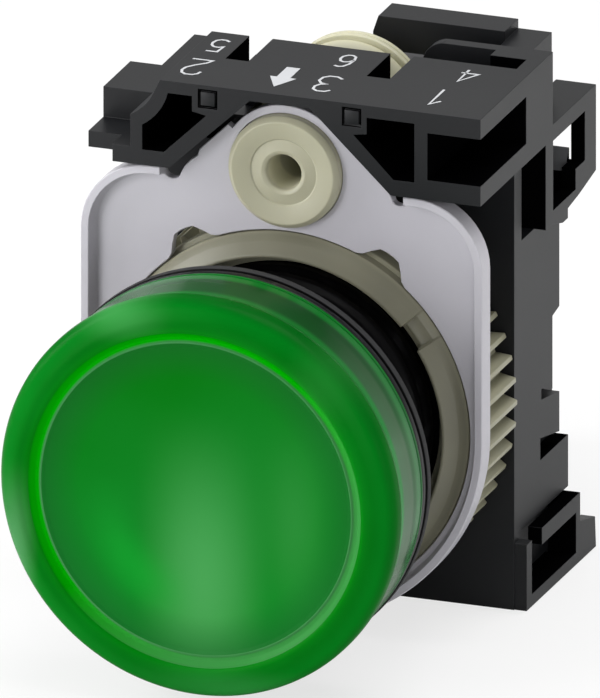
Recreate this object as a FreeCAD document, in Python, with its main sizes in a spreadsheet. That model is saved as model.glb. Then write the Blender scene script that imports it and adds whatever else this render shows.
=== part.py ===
import FreeCAD
import Part
import Sketcher
import math
import os

# Frame: +Z up, +Y into the panel, +X to the right as seen from the front.
# The origin is on the light's axis, in the plane of the panel's front face,
# where the seal behind the collar sits.

# Driving sizes: name, value (mm, degrees or a count), meaning
SIZES = [
    # head
    ("seal_thickness", 1.0, "rubber seal between collar and panel"),
    ("seal_radius", 14.5, "outer radius of the seal"),
    ("seal_clear", 0.15, "gap between seal and neck"),
    ("flange_thickness", 1.0, "collar of the bezel"),
    ("flange_radius", 14.4, "outer radius of the collar"),
    ("edge_break", 0.15, "small chamfer on moulded edges"),
    ("spigot_length", 3.2, "spigot in front of the collar"),
    ("spigot_radius", 12.9, "outer radius of the spigot"),
    ("spigot_bore", 11.6, "mouth of the spigot"),
    ("neck_radius", 11.0, "neck that passes a 22.3 mm panel hole"),
    ("neck_bore", 9.6, "bore of the neck"),
    ("neck_length", 20.5, "neck behind the panel's front face"),
    ("funnel_depth", 2.8, "axial length of the cone inside the bezel"),
    ("groove_floor", 12.3, "floor radius of the bayonet groove"),
    ("groove_start", 0.8, "groove's rear wall in front of the collar"),
    ("groove_width", 0.8, "width of the bayonet groove"),
    ("lug_count", 3.0, "bayonet lugs on the lens"),
    ("lug_width", 2.6, "width of a lug along the rim"),
    ("lug_turn", 30.0, "turn from the entry slots to the lock"),
    ("lug_clear", 0.1, "play of a lug in its groove"),
    # lens
    ("lens_gap", 0.05, "gap between lens and collar"),
    ("lens_skirt_radius", 14.45, "outer radius of the skirt at the collar"),
    ("lens_skirt_depth", 4.1, "straight part of the skirt"),
    ("lens_radius", 14.8, "largest radius, at the rounded rim"),
    ("lens_depth", 6.95, "lens from rear edge to rim crest"),
    ("rim_fillet", 1.9, "outer rounding of the rim"),
    ("rim_inner", 12.5, "radius where the crest turns inwards"),
    ("face_radius", 11.65, "edge of the dished face"),
    ("face_drop", 0.55, "edge of the face below the crest"),
    ("face_dish", 1.0, "centre of the face below the crest"),
    ("lens_bore", 13.85, "inside of the skirt"),
    ("lens_face_wall", 0.95, "thickness of the face at its centre"),
    ("lens_roof_radius", 12.2, "flat part of the inside of the face"),
    ("oring_radius", 0.4, "section radius of the lens seal"),
    ("oring_clear", 0.03, "gap between lens seal and collar"),
    ("disc_radius", 11.4, "frosted disc inside the lens"),
    ("disc_thickness", 0.7, "frosted disc"),
    ("disc_gap", 0.05, "gap between disc and lens"),
    ("reflector_wall", 0.7, "wall of the light funnel"),
    ("reflector_lip", 0.6, "lip of the funnel on the spigot"),
    ("reflector_clear", 0.2, "gap between funnel and bezel"),
    ("reflector_length", 6.0, "tube of the funnel behind the panel face"),
    # pressure plate
    ("half_width", 15.0, "half the width of plate and holder"),
    ("panel_gap", 9.0, "panel front face to the plate's rim, fully open"),
    ("plate_top", 17.7, "height of the plate's shoulders"),
    ("plate_corner", 5.1, "shoulder rounding"),
    ("plate_recess", 1.05, "rim in front of the plate's face"),
    ("plate_sheet", 0.7, "sheet thickness"),
    ("rim_width", 0.6, "width of the rim"),
    ("rim_end", 9.1, "the rim's ends beside the tongue"),
    ("relief_radius", 0.62, "relief notches at the rim's ends"),
    ("relief_height", 17.05, "centre height of the relief notches"),
    ("plate_hole", 13.7, "large hole around the clamping ring"),
    ("lobe_radius", 1.7, "rounding of the two lobes of the hole"),
    ("lobe_centre", 13.3, "distance of the lobes from the axis"),
    ("lobe_angle", 31.0, "lobes from the vertical"),
    ("tongue_top", 23.4, "height where the tongue's flanks would end"),
    ("tongue_half", 2.0, "half width between the flanks at that height"),
    ("tongue_tip", 4.8, "rounded end of the tongue about the pinion"),
    ("tip_angle", 57.0, "half angle of the rounded end"),
    ("tongue_foot", 8.0, "half width of the tongue at the shoulders"),
    # gears
    ("gear_module", 0.515, "module of ring and pinion"),
    ("ring_teeth", 54.0, "teeth on the clamping ring"),
    ("pinion_teeth", 17.0, "teeth on the pinion"),
    ("collar_start", 1.95, "ring's collar behind the plate's rim"),
    ("collar_radius", 13.95, "ring's collar that closes the lobes"),
    ("tooth_start", 3.1, "ring's teeth behind the plate's rim"),
    ("tooth_end", 9.0, "rear face of the ring behind the plate's rim"),
    ("backlash", 0.12, "play between tooth flanks"),
    ("ring_proud", 0.2, "ring's front edge in front of the plate's rim"),
    ("ring_lip", 12.0, "inner radius of the ring's front edge"),
    ("ring_lip_depth", 2.2, "depth of the wide mouth of the ring"),
    ("ring_bore", 11.08, "bore of the ring on the neck"),
    ("ring_cone_radius", 13.45, "foot of the ring's front cone"),
    ("ring_cone_depth", 1.6, "axial length of the cone"),
    ("keyway_width", 2.2, "keyway in the ring's front cone"),
    ("keyway_angle", 37.0, "keyway above the horizontal"),
    ("keyway_depth", 0.8, "depth of the keyway"),
    # pinion
    ("disc_front", 0.15, "pinion's front face behind the plate's rim"),
    ("pinion_journal", 4.24, "front journal in the plate"),
    ("disc_chamfer", 0.38, "bevel of the pinion's front edge"),
    ("journal_end", 2.95, "rear end of the front journal"),
    ("journal_clear", 0.08, "running gap around the front journal"),
    ("pinion_hole", 1.29, "hole in the pinion's front"),
    ("pinion_hole_depth", 8.0, "depth of that hole"),
    ("pinion_dish", 2.5, "shallow ring mark around the hole"),
    ("dish_depth", 0.1, "depth of the ring mark"),
    ("shaft_start", 9.6, "rear journal behind the plate's rim"),
    ("shaft_radius", 5.0, "rear journal in the holder"),
    ("shaft_end", 14.7, "end of the rear journal"),
    ("shaft_clear", 0.06, "running gap around the rear journal"),
    ("head_groove", 0.3, "groove in front of the head"),
    ("head_radius", 5.3, "pinion head behind the holder"),
    ("head_end", 16.0, "rear face of the head"),
    ("driver_width", 1.1, "slots of the driver recess"),
    ("driver_span", 4.8, "length of each slot"),
    ("driver_depth", 2.2, "depth of the driver recess"),
    # holder
    ("top_height", 24.35, "top of the marked bar"),
    ("foot_height", 15.6, "underside of the holder below the axis"),
    ("bar_proud", 0.35, "bar's front in front of the plate's rim"),
    ("bar_back", 10.35, "rear edge of the bar's top"),
    ("bar_left", 8.95, "left end of the bar's top"),
    ("arm_top", 19.35, "upper face of the lower arms"),
    ("arm_bottom", 17.85, "underside of the lower arms"),
    ("end_ceiling", 22.85, "ceiling of the opening in the right end"),
    ("end_depth", 11.03, "inner wall of that opening"),
    ("cell_depth", 8.0, "depth of the moulded cells"),
    ("vee_clear", 0.1, "gap between tongue and holder"),
    ("notch_inner", 4.4, "inner side of the notches in the bar"),
    ("notch_outer", 6.14, "outer side of those notches"),
    ("notch_front", 5.4, "front of those notches"),
    ("body_front", 9.07, "front face of the holder's wall"),
    ("body_back", 14.55, "rear face of the holder's wall"),
    ("bore_clear", 0.08, "gap between neck and holder"),
    ("side_inset", 0.9, "front wall's sides inside the overall width"),
    ("front_wall", 1.5, "thickness of the front wall beside the bore's wall"),
    ("web_outer", 12.9, "outer face of the side webs"),
    ("web_back", 20.15, "rear edge of the side webs"),
    ("side_wall", 1.15, "thickness of the side webs"),
    ("side_rear", 18.35, "rear edge of the flat side walls"),
    ("side_waist", 16.94, "rear edge of the side walls at their waist"),
    ("side_top", 11.5, "upper edge of the flat side walls"),
    ("side_bottom", 10.1, "lower edge of the flat side walls, below the axis"),
    ("loop_wall", 1.05, "skin of loops and feet"),
    ("arm_front", 4.68, "front of the left arm"),
    ("stub_front", 1.62, "front of the left stub"),
    ("corner_width", 3.9, "solid corner behind the slot"),
    ("screen_width", 5.5, "thin screen beside that corner"),
    ("block_left", 0.95, "left end of the rear top block"),
    ("block_right", 10.4, "right end of its higher part"),
    ("block_step", 0.69, "step down to its lower part"),
    ("mark_depth", 0.2, "depth of the square marks"),
    ("floor_height", 0.9, "thickness of the lower rail"),
    ("holder_back", 23.4, "rear end of loops and feet"),
    ("loop_top", 18.9, "top of the rear loops"),
    ("loop_depth", 3.0, "width of the loops' top flange"),
    ("loop_flange", 1.22, "thickness of that flange"),
    ("rail_bottom", 15.6, "inner face of the rails from the axis"),
    ("rail_thickness", 1.8, "height of the rails"),
    ("rail_back", 18.8, "rear edge of the rails"),
    ("head_clear", 0.2, "gap around the pinion's head"),
    ("driver_room", 3.4, "radius kept free for the screwdriver"),
    ("catch_start", 16.75, "front of the catch groove in the rails"),
    ("catch_width", 1.1, "width of the catch groove"),
    ("catch_depth", 0.7, "depth of the catch groove"),
    ("cradle_top", 21.4, "top of the pinion's cradle"),
    ("cradle_half", 7.2, "half width of the cradle"),
    ("cradle_front", 12.4, "front of the cradle"),
    ("slot_back", 12.4, "rear side of the slot behind the bar"),
    ("strip_width", 1.2, "strip at the right end of the slot"),
    ("block_front", 17.3, "front of the rear top block"),
    ("block_back", 20.1, "back of the rear top block"),
    # lamp holder block
    ("block_half", 4.8, "half the width of the lamp holder block"),
    ("block_height", 14.2, "half the height of the block"),
    ("casing_front", 20.8, "front face of the block"),
    ("casing_back", 37.5, "rear edge of the casing"),
    ("casing_wall", 1.0, "wall of the casing"),
    ("cover_thickness", 2.0, "rear cover of the block"),
    ("cover_lip", 1.2, "lip of the cover in the casing"),
    ("cover_clear", 0.1, "gap around the cover's lip"),
    ("hook_top", 15.4, "outer side of the upper snap arm"),
    ("hook_bottom", 14.5, "outer side of the lower snap arm"),
    ("hook_front", 16.9, "front of the snap arms"),
    ("hook_nose", 0.5, "height of the snap noses"),
    ("hook_nose_width", 0.75, "width of the snap noses"),
    ("hook_half", 4.2, "half width of the snap arms"),
    # lamp
    ("lamp_tip", 5.5, "tip of the bulb in front of the plate's rim"),
    ("glass_radius", 5.0, "bulb of the lamp"),
    ("glass_wall", 0.45, "wall of the bulb"),
    ("glass_end", 11.3, "glass enters the cap"),
    ("cap_radius", 4.6, "9 mm bayonet cap"),
    ("cap_wall", 0.3, "sheet of the cap"),
    ("cap_start", 10.6, "front edge of the cap"),
    ("cap_end", 19.4, "rear edge of the cap"),
    ("pin_radius", 0.8, "bayonet pins"),
    ("pin_reach", 1.0, "pins beyond the cap"),
    ("pin_place", 17.0, "pins behind the plate's rim"),
    ("base_thickness", 0.7, "insulating base of the cap"),
    ("contact_radius", 1.5, "foot contact"),
    ("contact_height", 0.8, "foot contact"),
    ("socket_wall", 0.4, "sheet of the socket sleeve"),
    ("socket_clear", 0.1, "gap between cap and sleeve"),
    ("socket_start", 11.8, "front edge of the sleeve"),
    ("socket_slot", 1.9, "width of the pin slots"),
    ("socket_flange", 6.4, "radius of the sleeve's foot"),
    ("filament_radius", 0.15, "filament and its supports"),
    ("filament_span", 1.6, "half distance between the supports"),
    ("filament_reach", 9.5, "supports in front of the cap's edge"),
    # terminals
    ("terminal_height", 9.6, "terminal screws from the axis"),
    ("strip_thickness", 0.8, "terminal strips"),
    ("strip_half", 2.6, "half width of the strips"),
    ("terminal_place", 31.5, "strips under the terminal screws"),
    ("screw_radius", 1.5, "terminal screws"),
    ("screw_length", 6.0, "terminal screws under the head"),
    ("screw_head", 2.7, "head radius"),
    ("screw_head_height", 1.8, "head height"),
    ("screw_clear", 0.1, "gap around the screws"),
    ("washer_half", 3.0, "half width of the square clamp washer"),
    ("washer_thickness", 0.9, "clamp washer"),
    ("wire_room", 1.6, "open clamp between washer and strip"),
    ("wire_hole", 1.7, "wire entry radius"),
    ("screw_access", 3.0, "radius of the screw holes in the cover"),
]

doc = FreeCAD.newDocument("PilotLight")
sheet = doc.addObject("Spreadsheet::Sheet", "Sizes")


class Size:
    """A value in millimetres with the sheet expression it comes from."""

    def __init__(self, value, text):
        self.value = float(value)
        self.text = text

    def __add__(self, other):
        other = as_size(other)
        return Size(self.value + other.value, "(%s + %s)" % (self.text, other.text))

    def __radd__(self, other):
        return as_size(other) + self

    def __sub__(self, other):
        other = as_size(other)
        return Size(self.value - other.value, "(%s - %s)" % (self.text, other.text))

    def __rsub__(self, other):
        return as_size(other) - self

    def __mul__(self, other):
        other = as_size(other)
        return Size(self.value * other.value, "(%s * %s)" % (self.text, other.text))

    def __rmul__(self, other):
        return as_size(other) * self

    def __truediv__(self, other):
        other = as_size(other)
        return Size(self.value / other.value, "(%s / %s)" % (self.text, other.text))

    def __neg__(self):
        return 0.0 - self

    def __float__(self):
        return self.value


def as_size(number):
    """Turn a plain number into a Size; a Size stays as it is."""
    if isinstance(number, Size):
        return number
    return Size(number, "%g" % number)


class SizeBook:
    """The sheet's sizes by name."""


def fill_sheet():
    """Write every driving size into the sheet and return them by name."""
    book = SizeBook()
    for row, (name, value, meaning) in enumerate(SIZES, start=1):
        sheet.set("A%d" % row, meaning)
        sheet.set("B%d" % row, "%g" % value)
        sheet.setAlias("B%d" % row, name)
        setattr(book, name, Size(value, "Sizes." + name))
    doc.recompute()
    return book


k = fill_sheet()


def bind(thing, prop, size):
    """Tie a property to the sheet."""
    thing.setExpression(prop, as_size(size).text)


def new_body(label, x=0.0, y=0.0, z=0.0):
    """An empty body with its own place in the frame."""
    body = doc.addObject("PartDesign::Body", label.title().replace("_", ""))
    body.Label = label
    body.Placement = FreeCAD.Placement(
        FreeCAD.Vector(float(x), float(y), float(z)), FreeCAD.Rotation())
    bind(body, "Placement.Base.x", x)
    bind(body, "Placement.Base.y", y)
    bind(body, "Placement.Base.z", z)
    return body


# Sketch planes: the origin plane, the sign of its normal along the row axis
PLANES = {"front": ("XZ_Plane", -1.0), "side": ("YZ_Plane", 1.0), "top": ("XY_Plane", 1.0)}


def new_sketch(body, plane, place=0.0):
    """A sketch on one of the body's own origin planes, shifted along its normal."""
    role, sign = PLANES[plane]
    base = [item for item in body.Origin.OriginFeatures if item.Role == role][0]
    sketch = body.newObject("Sketcher::SketchObject", body.Name + "Sketch")
    sketch.AttachmentSupport = [(base, "")]
    sketch.MapMode = "FlatFace"
    bind(sketch, "AttachmentOffset.Base.z", sign * as_size(place))
    return sketch


def arc_between(start, end, radius, side):
    """A short arc from start to end; its centre is left (+1) or right (-1) of the way."""
    chord = end - start
    middle = (start + end) * 0.5
    left = FreeCAD.Vector(-chord.y, chord.x, 0.0)
    left.normalize()
    height = math.sqrt(max(radius ** 2 - (chord.Length / 2.0) ** 2, 0.0))
    centre = middle + left * (height * side)
    first, last = (start, end) if side > 0 else (end, start)
    first_angle = math.atan2(first.y - centre.y, first.x - centre.x)
    last_angle = math.atan2(last.y - centre.y, last.x - centre.x)
    circle = Part.Circle(centre, FreeCAD.Vector(0, 0, 1), radius)
    return Part.ArcOfCircle(circle, first_angle, last_angle)


def draw_outline(sketch, corners):
    """A closed outline. A corner is (a, b), or (a, b, radius, side) where an arc arrives."""
    count = len(corners)
    points = [FreeCAD.Vector(float(c[0]), float(c[1]), 0.0) for c in corners]
    first_edge = sketch.GeometryCount
    ends = []
    for i in range(count):
        arriving = corners[(i + 1) % count]
        start, end = points[i], points[(i + 1) % count]
        if len(arriving) == 4:
            sketch.addGeometry(arc_between(start, end, float(arriving[2]), arriving[3]), False)
            ends.append((1, 2) if arriving[3] > 0 else (2, 1))
        else:
            sketch.addGeometry(Part.LineSegment(start, end), False)
            ends.append((1, 2))
    for i in range(count):
        after = (i + 1) % count
        sketch.addConstraint(Sketcher.Constraint(
            "Coincident", first_edge + i, ends[i][1], first_edge + after, ends[after][0]))
    for i, corner in enumerate(corners):
        for axis, size in (("DistanceX", corner[0]), ("DistanceY", corner[1])):
            index = sketch.addConstraint(Sketcher.Constraint(
                axis, -1, 1, first_edge + i, ends[i][0], float(size)))
            bind(sketch, "Constraints[%d]" % index, size)
        if len(corner) == 4:
            edge = first_edge + (i - 1) % count
            index = sketch.addConstraint(Sketcher.Constraint("Radius", edge, float(corner[2])))
            bind(sketch, "Constraints[%d]" % index, corner[2])


def draw_circle(sketch, a, b, radius):
    """A circle with its centre at (a, b)."""
    centre = FreeCAD.Vector(float(a), float(b), 0.0)
    circle = Part.Circle(centre, FreeCAD.Vector(0, 0, 1), float(radius))
    edge = sketch.addGeometry(circle, False)
    for axis, size in (("DistanceX", a), ("DistanceY", b)):
        index = sketch.addConstraint(Sketcher.Constraint(axis, -1, 1, edge, 3, float(size)))
        bind(sketch, "Constraints[%d]" % index, size)
    index = sketch.addConstraint(Sketcher.Constraint("Radius", edge, float(radius)))
    bind(sketch, "Constraints[%d]" % index, radius)


def box_corners(a_low, b_low, a_high, b_high):
    """The four corners of a rectangle."""
    return [(a_low, b_low), (a_high, b_low), (a_high, b_high), (a_low, b_high)]


def extrude(body, kind, plane, start, end, outlines):
    """Pad or pocket outlines from start to end, measured along the row axis."""
    sketch = new_sketch(body, plane, start)
    for outline in outlines:
        if outline[0] == "circle":
            draw_circle(sketch, *outline[1:])
        else:
            draw_outline(sketch, outline)
    feature = body.newObject("PartDesign::" + kind, body.Name + kind)
    feature.Profile = sketch
    depth = as_size(end) - start
    feature.Length = depth.value
    bind(feature, "Length", depth)
    normal_is_forward = PLANES[plane][1] > 0
    feature.Reversed = (kind == "Pocket") if normal_is_forward else (kind == "Pad")
    sketch.Visibility = False
    return feature


def pad(body, plane, start, end, *outlines):
    """Add material between two planes."""
    return extrude(body, "Pad", plane, start, end, outlines)


def pocket(body, plane, start, end, *outlines):
    """Cut material between two planes."""
    return extrude(body, "Pocket", plane, start, end, outlines)


def turn(body, kind, *outlines):
    """Revolve outlines of (radius, y) about the body's Y axis."""
    sketch = new_sketch(body, "top")
    for outline in outlines:
        if outline[0] == "circle":
            draw_circle(sketch, *outline[1:])
        else:
            draw_outline(sketch, outline)
    feature = body.newObject("PartDesign::" + kind, body.Name + kind)
    feature.Profile = sketch
    feature.ReferenceAxis = (sketch, ["V_Axis"])
    feature.Angle = 360.0
    return feature


def repeat_round(body, feature, count):
    """Repeat a feature around the body's Y axis."""
    axis = [item for item in body.Origin.OriginFeatures if item.Role == "Y_Axis"][0]
    pattern = body.newObject("PartDesign::PolarPattern", body.Name + "Pattern")
    pattern.Originals = [feature]
    pattern.Axis = (axis, [""])
    pattern.Angle = 360.0
    pattern.Occurrences = int(float(count))
    bind(pattern, "Occurrences", count)
    body.Tip = pattern
    return pattern


def soften(body, kind, size, wanted):
    """Fillet or chamfer the edges of the body that pass the test."""
    doc.recompute()
    base = body.Tip
    names = ["Edge%d" % (i + 1) for i, edge in enumerate(base.Shape.Edges) if wanted(edge)]
    if not names:
        raise ValueError("no edge to soften on " + body.Label)
    feature = body.newObject("PartDesign::" + kind, body.Name + kind)
    feature.Base = (base, names)
    if kind == "Fillet":
        feature.Radius = float(size)
        bind(feature, "Radius", size)
    else:
        feature.Size = float(size)
        bind(feature, "Size", size)
    return feature


def round_edge(radius, y):
    """Test for a full circular edge about the Y axis."""
    def test(edge):
        curve = edge.Curve
        if not isinstance(curve, Part.Circle):
            return False
        same = abs(curve.Radius - float(radius)) < 0.02
        return same and abs(curve.Center.y - float(y)) < 0.02
    return test


def upright_edge(a_axis, a, b_axis, b, along):
    """Test for a straight edge along one axis through (a, b) of the other two."""
    def test(edge):
        if not isinstance(edge.Curve, Part.Line) or edge.Length < 0.1:
            return False
        low, high = edge.Vertexes[0].Point, edge.Vertexes[-1].Point
        if abs(abs(getattr(high - low, along)) - edge.Length) > 0.001:
            return False
        near_a = abs(getattr(low, a_axis) - float(a)) < 0.02
        return near_a and abs(getattr(low, b_axis) - float(b)) < 0.02
    return test


# Planes that several pieces share, along Y
flange_back = -k.seal_thickness
flange_front = flange_back - k.flange_thickness
spigot_front = flange_front - k.spigot_length
groove_back = flange_front - k.groove_start
groove_front = groove_back - k.groove_width
lens_back = flange_front - k.lens_gap
lens_crest = lens_back - k.lens_depth
plate_face = k.panel_gap + k.plate_recess
plate_back = plate_face + k.plate_sheet
ring_front = k.panel_gap - k.ring_proud
ring_back = k.panel_gap + k.tooth_end
bar_front = k.panel_gap - k.bar_proud
bar_rear = k.panel_gap + k.bar_back
wall_front = k.panel_gap + k.body_front
wall_back = k.panel_gap + k.body_back
holder_rear = k.panel_gap + k.holder_back
casing_front = k.panel_gap + k.casing_front
casing_back = k.panel_gap + k.casing_back
ring_pitch = k.gear_module * k.ring_teeth / 2.0
pinion_pitch = k.gear_module * k.pinion_teeth / 2.0
gear_distance = ring_pitch + pinion_pitch


def make_bezel():
    """Collar, spigot for the lens and neck, in one moulding."""
    body = new_body("bezel")
    cone_back = flange_back + 0.4
    turn(body, "Revolution", [
        (k.spigot_bore, spigot_front),
        (k.spigot_radius, spigot_front),
        (k.spigot_radius, flange_front),
        (k.flange_radius, flange_front),
        (k.flange_radius, flange_back),
        (k.neck_radius, flange_back),
        (k.neck_radius, k.neck_length),
        (k.neck_bore, k.neck_length),
        (k.neck_bore, cone_back),
        (k.spigot_bore, cone_back - k.funnel_depth)])
    turn(body, "Groove", [
        (k.groove_floor, groove_front),
        (k.spigot_radius + 0.5, groove_front),
        (k.spigot_radius + 0.5, groove_back),
        (k.groove_floor, groove_back)])
    slot_half = k.lug_width / 2.0 + k.lug_clear
    slot = pocket(body, "front", spigot_front, groove_back, box_corners(
        -slot_half, k.groove_floor, slot_half, k.spigot_radius + 0.5))
    repeat_round(body, slot, k.lug_count)
    soften(body, "Chamfer", k.edge_break, round_edge(k.flange_radius, flange_back))
    soften(body, "Chamfer", k.edge_break * 3.0, round_edge(k.neck_radius, k.neck_length))
    return body


def make_panel_seal():
    """Flat rubber ring between collar and panel."""
    body = new_body("panel_seal", y=flange_back)
    inner = k.neck_radius + k.seal_clear
    pad(body, "front", 0.0, k.seal_thickness,
        ("circle", 0.0, 0.0, k.seal_radius), ("circle", 0.0, 0.0, inner))
    soften(body, "Chamfer", k.edge_break, round_edge(k.seal_radius, 0.0))
    return body


def make_lens():
    """Green cap: straight skirt, rounded rim and dished face, with bayonet lugs."""
    body = new_body("lens")
    face_edge = lens_crest + k.face_drop
    face_centre = lens_crest + k.face_dish
    roof = face_centre + k.lens_face_wall
    skirt_front = lens_back - k.lens_skirt_depth
    turn(body, "Revolution", [
        (0.0, face_centre),
        (k.face_radius, face_edge),
        (k.rim_inner, lens_crest),
        (k.lens_radius, lens_crest),
        (k.lens_radius, skirt_front - 0.6),
        (k.lens_skirt_radius, skirt_front),
        (k.lens_skirt_radius, lens_back),
        (k.lens_bore, lens_back),
        (k.lens_bore, skirt_front),
        (k.lens_roof_radius, roof),
        (0.0, roof)])
    soften(body, "Fillet", k.rim_fillet, round_edge(k.lens_radius, lens_crest))
    soften(body, "Fillet", k.rim_fillet / 3.0, round_edge(k.rim_inner, lens_crest))
    lug_back = groove_back - k.lug_clear
    lug_front = groove_front + k.lug_clear
    lug_half = k.lug_width / 2.0
    lug = pad(body, "front", lug_front, lug_back, box_corners(
        -lug_half, k.groove_floor + k.lug_clear, lug_half, k.lens_bore + 0.2))
    repeat_round(body, lug, k.lug_count)
    turn_back = FreeCAD.Rotation(FreeCAD.Vector(0, 1, 0), k.lug_turn.value)
    body.Placement = FreeCAD.Placement(FreeCAD.Vector(0, 0, 0), turn_back)
    bind(body, "Placement.Rotation.Angle", k.lug_turn)
    return body


def make_lens_seal():
    """O-ring between the skirt of the lens and the spigot."""
    body = new_body("lens_seal")
    middle = (k.spigot_radius + k.lens_bore) / 2.0
    turn(body, "Revolution", ("circle", middle, flange_front - k.oring_radius - k.oring_clear,
                              k.oring_radius))
    return body


def make_diffuser_disc():
    """Frosted disc behind the face of the lens."""
    roof = lens_crest + k.face_dish + k.lens_face_wall
    body = new_body("diffuser_disc", y=roof + k.disc_gap)
    pad(body, "front", 0.0, k.disc_thickness, ("circle", 0.0, 0.0, k.disc_radius))
    return body


def make_reflector():
    """White funnel in the mouth of the bezel."""
    body = new_body("reflector")
    lip_back = spigot_front - 0.05
    lip_front = lip_back - k.reflector_lip
    mouth = k.spigot_bore - k.reflector_clear
    tube = k.neck_bore - k.reflector_clear
    cone_back = flange_back - 0.2
    cone_front = cone_back - k.funnel_depth
    turn(body, "Revolution", [
        (k.spigot_radius - 0.3, lip_front),
        (k.spigot_radius - 0.3, lip_back),
        (mouth, lip_back),
        (mouth, cone_front),
        (tube, cone_back),
        (tube, k.reflector_length),
        (tube - k.reflector_wall, k.reflector_length),
        (tube - k.reflector_wall, cone_back),
        (mouth - k.reflector_wall, cone_front),
        (mouth - k.reflector_wall, lip_front)])
    return body


def make_pressure_plate():
    """Pressed tray with a rim, a tongue, the ring's hole with two lobes and the journal hole."""
    body = new_body("pressure_plate", y=k.panel_gap)
    depth = k.plate_recess + k.plate_sheet
    pad(body, "front", 0.0, depth, ("circle", 0.0, 0.0, k.half_width))
    pad(body, "front", 0.0, depth, box_corners(-k.half_width, 0.0, k.half_width, k.plate_top))
    for side in (-1.0, 1.0):
        soften(body, "Fillet", k.plate_corner,
               upright_edge("x", side * k.half_width.value, "z", k.plate_top, "y"))
    # tongue with straight flanks and a rounded end about the pinion
    half_turn = math.radians(k.tip_angle.value)
    tip_x = k.tongue_tip * math.sin(half_turn)
    tip_z = gear_distance + k.tongue_tip * math.cos(half_turn)
    step_x = tip_x + 0.35
    slope = (k.tongue_top - k.plate_top) / (k.tongue_foot - k.tongue_half)
    step_z = k.plate_top + (k.tongue_foot - step_x) * slope
    pad(body, "front", 0.0, depth, [
        (-k.tongue_foot, k.plate_top - 0.5),
        (k.tongue_foot, k.plate_top - 0.5),
        (k.tongue_foot, k.plate_top),
        (step_x, step_z),
        (tip_x, tip_z),
        (-tip_x, tip_z, k.tongue_tip, 1),
        (-step_x, step_z),
        (-k.tongue_foot, k.plate_top)])
    inner = k.half_width - k.rim_width
    shoulder = k.plate_top - k.rim_width
    corner = k.plate_corner - k.rim_width
    pocket(body, "front", 0.0, k.plate_recess, ("circle", 0.0, 0.0, inner))
    pocket(body, "front", 0.0, k.plate_recess, [
        (-inner, 0.0),
        (inner, 0.0),
        (inner, shoulder - corner),
        (inner - corner, shoulder, corner, 1),
        (-inner + corner, shoulder),
        (-inner, shoulder - corner, corner, 1)])
    pocket(body, "front", 0.0, k.plate_recess,
           box_corners(-k.rim_end, shoulder - 1.0, k.rim_end, k.tongue_top + 1.0))
    # relief notches between rim and tongue
    near = k.rim_end - 1.2
    pocket(body, "front", 0.0, depth, [
        (-k.rim_end, k.relief_height + 2.5),
        (-k.rim_end, k.relief_height),
        (-near, k.relief_height, k.relief_radius, 1),
        (-near + 1.6, k.relief_height + 1.55, 2.0, -1),
        (-near + 1.0, k.relief_height + 2.5)])
    pocket(body, "front", 0.0, depth, [
        (k.rim_end, k.relief_height + 2.5),
        (near - 1.0, k.relief_height + 2.5),
        (near - 1.6, k.relief_height + 1.55),
        (near, k.relief_height, 2.0, -1),
        (k.rim_end, k.relief_height, k.relief_radius, 1)])
    pocket(body, "front", 0.0, depth, ("circle", 0.0, 0.0, k.plate_hole))
    pocket(body, "front", 0.0, depth,
           ("circle", 0.0, gear_distance, k.pinion_journal + k.journal_clear))
    lobe_x = k.lobe_centre * math.sin(math.radians(k.lobe_angle.value))
    lobe_z = k.lobe_centre * math.cos(math.radians(k.lobe_angle.value))
    for side in (-1.0, 1.0):
        pocket(body, "front", 0.0, depth, ("circle", side * lobe_x, lobe_z, k.lobe_radius))
    return body


def tooth_outline(pitch, way):
    """Flank corners of one tooth that points right or down, and dips under the root."""
    addendum = k.gear_module * 0.9
    dedendum = k.gear_module * 1.25
    half_pitch = k.gear_module * math.pi / 4.0 - k.backlash / 2.0
    flank = math.tan(math.radians(20.0))
    tip_half = half_pitch - addendum * flank
    root_half = half_pitch + dedendum * flank
    tip = pitch + addendum
    root = pitch - dedendum - 0.15
    if way == "right":
        return [(root, -root_half), (root, root_half), (tip, tip_half), (tip, -tip_half)]
    return [(-root_half, -root), (root_half, -root), (tip_half, -tip), (-tip_half, -tip)]


def make_clamp_ring():
    """Ring nut on the neck: plain cone in front, toothed rim behind, keyway in the cone."""
    body = new_body("clamp_ring", y=k.panel_gap)
    front = -k.ring_proud
    root = ring_pitch - k.gear_module * 1.25
    mouth_back = front + k.ring_lip_depth
    turn(body, "Revolution", [
        (k.ring_lip, front),
        (k.ring_lip + 0.25, front),
        (k.ring_cone_radius, front + k.ring_cone_depth),
        (k.ring_cone_radius, k.collar_start),
        (k.collar_radius, k.collar_start),
        (k.collar_radius, k.tooth_start),
        (root, k.tooth_start),
        (root, k.tooth_end),
        (k.ring_bore, k.tooth_end),
        (k.ring_bore, mouth_back),
        (k.ring_lip, mouth_back)])
    tooth = pad(body, "front", k.tooth_start, k.tooth_end, tooth_outline(ring_pitch, "right"))
    repeat_round(body, tooth, k.ring_teeth)
    doc.recompute()
    angle = math.radians(k.keyway_angle.value)
    along = (math.cos(angle), math.sin(angle))
    across = (-along[1], along[0])
    half = k.keyway_width / 2.0
    near = k.ring_lip - 0.5
    far = k.ring_cone_radius + 0.1
    pocket(body, "front", front - 0.1, front + k.keyway_depth, [
        (near * along[0] - half * across[0], near * along[1] - half * across[1]),
        (far * along[0] - half * across[0], far * along[1] - half * across[1]),
        (far * along[0] + half * across[0], far * along[1] + half * across[1]),
        (near * along[0] + half * across[0], near * along[1] + half * across[1])])
    return body


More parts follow.
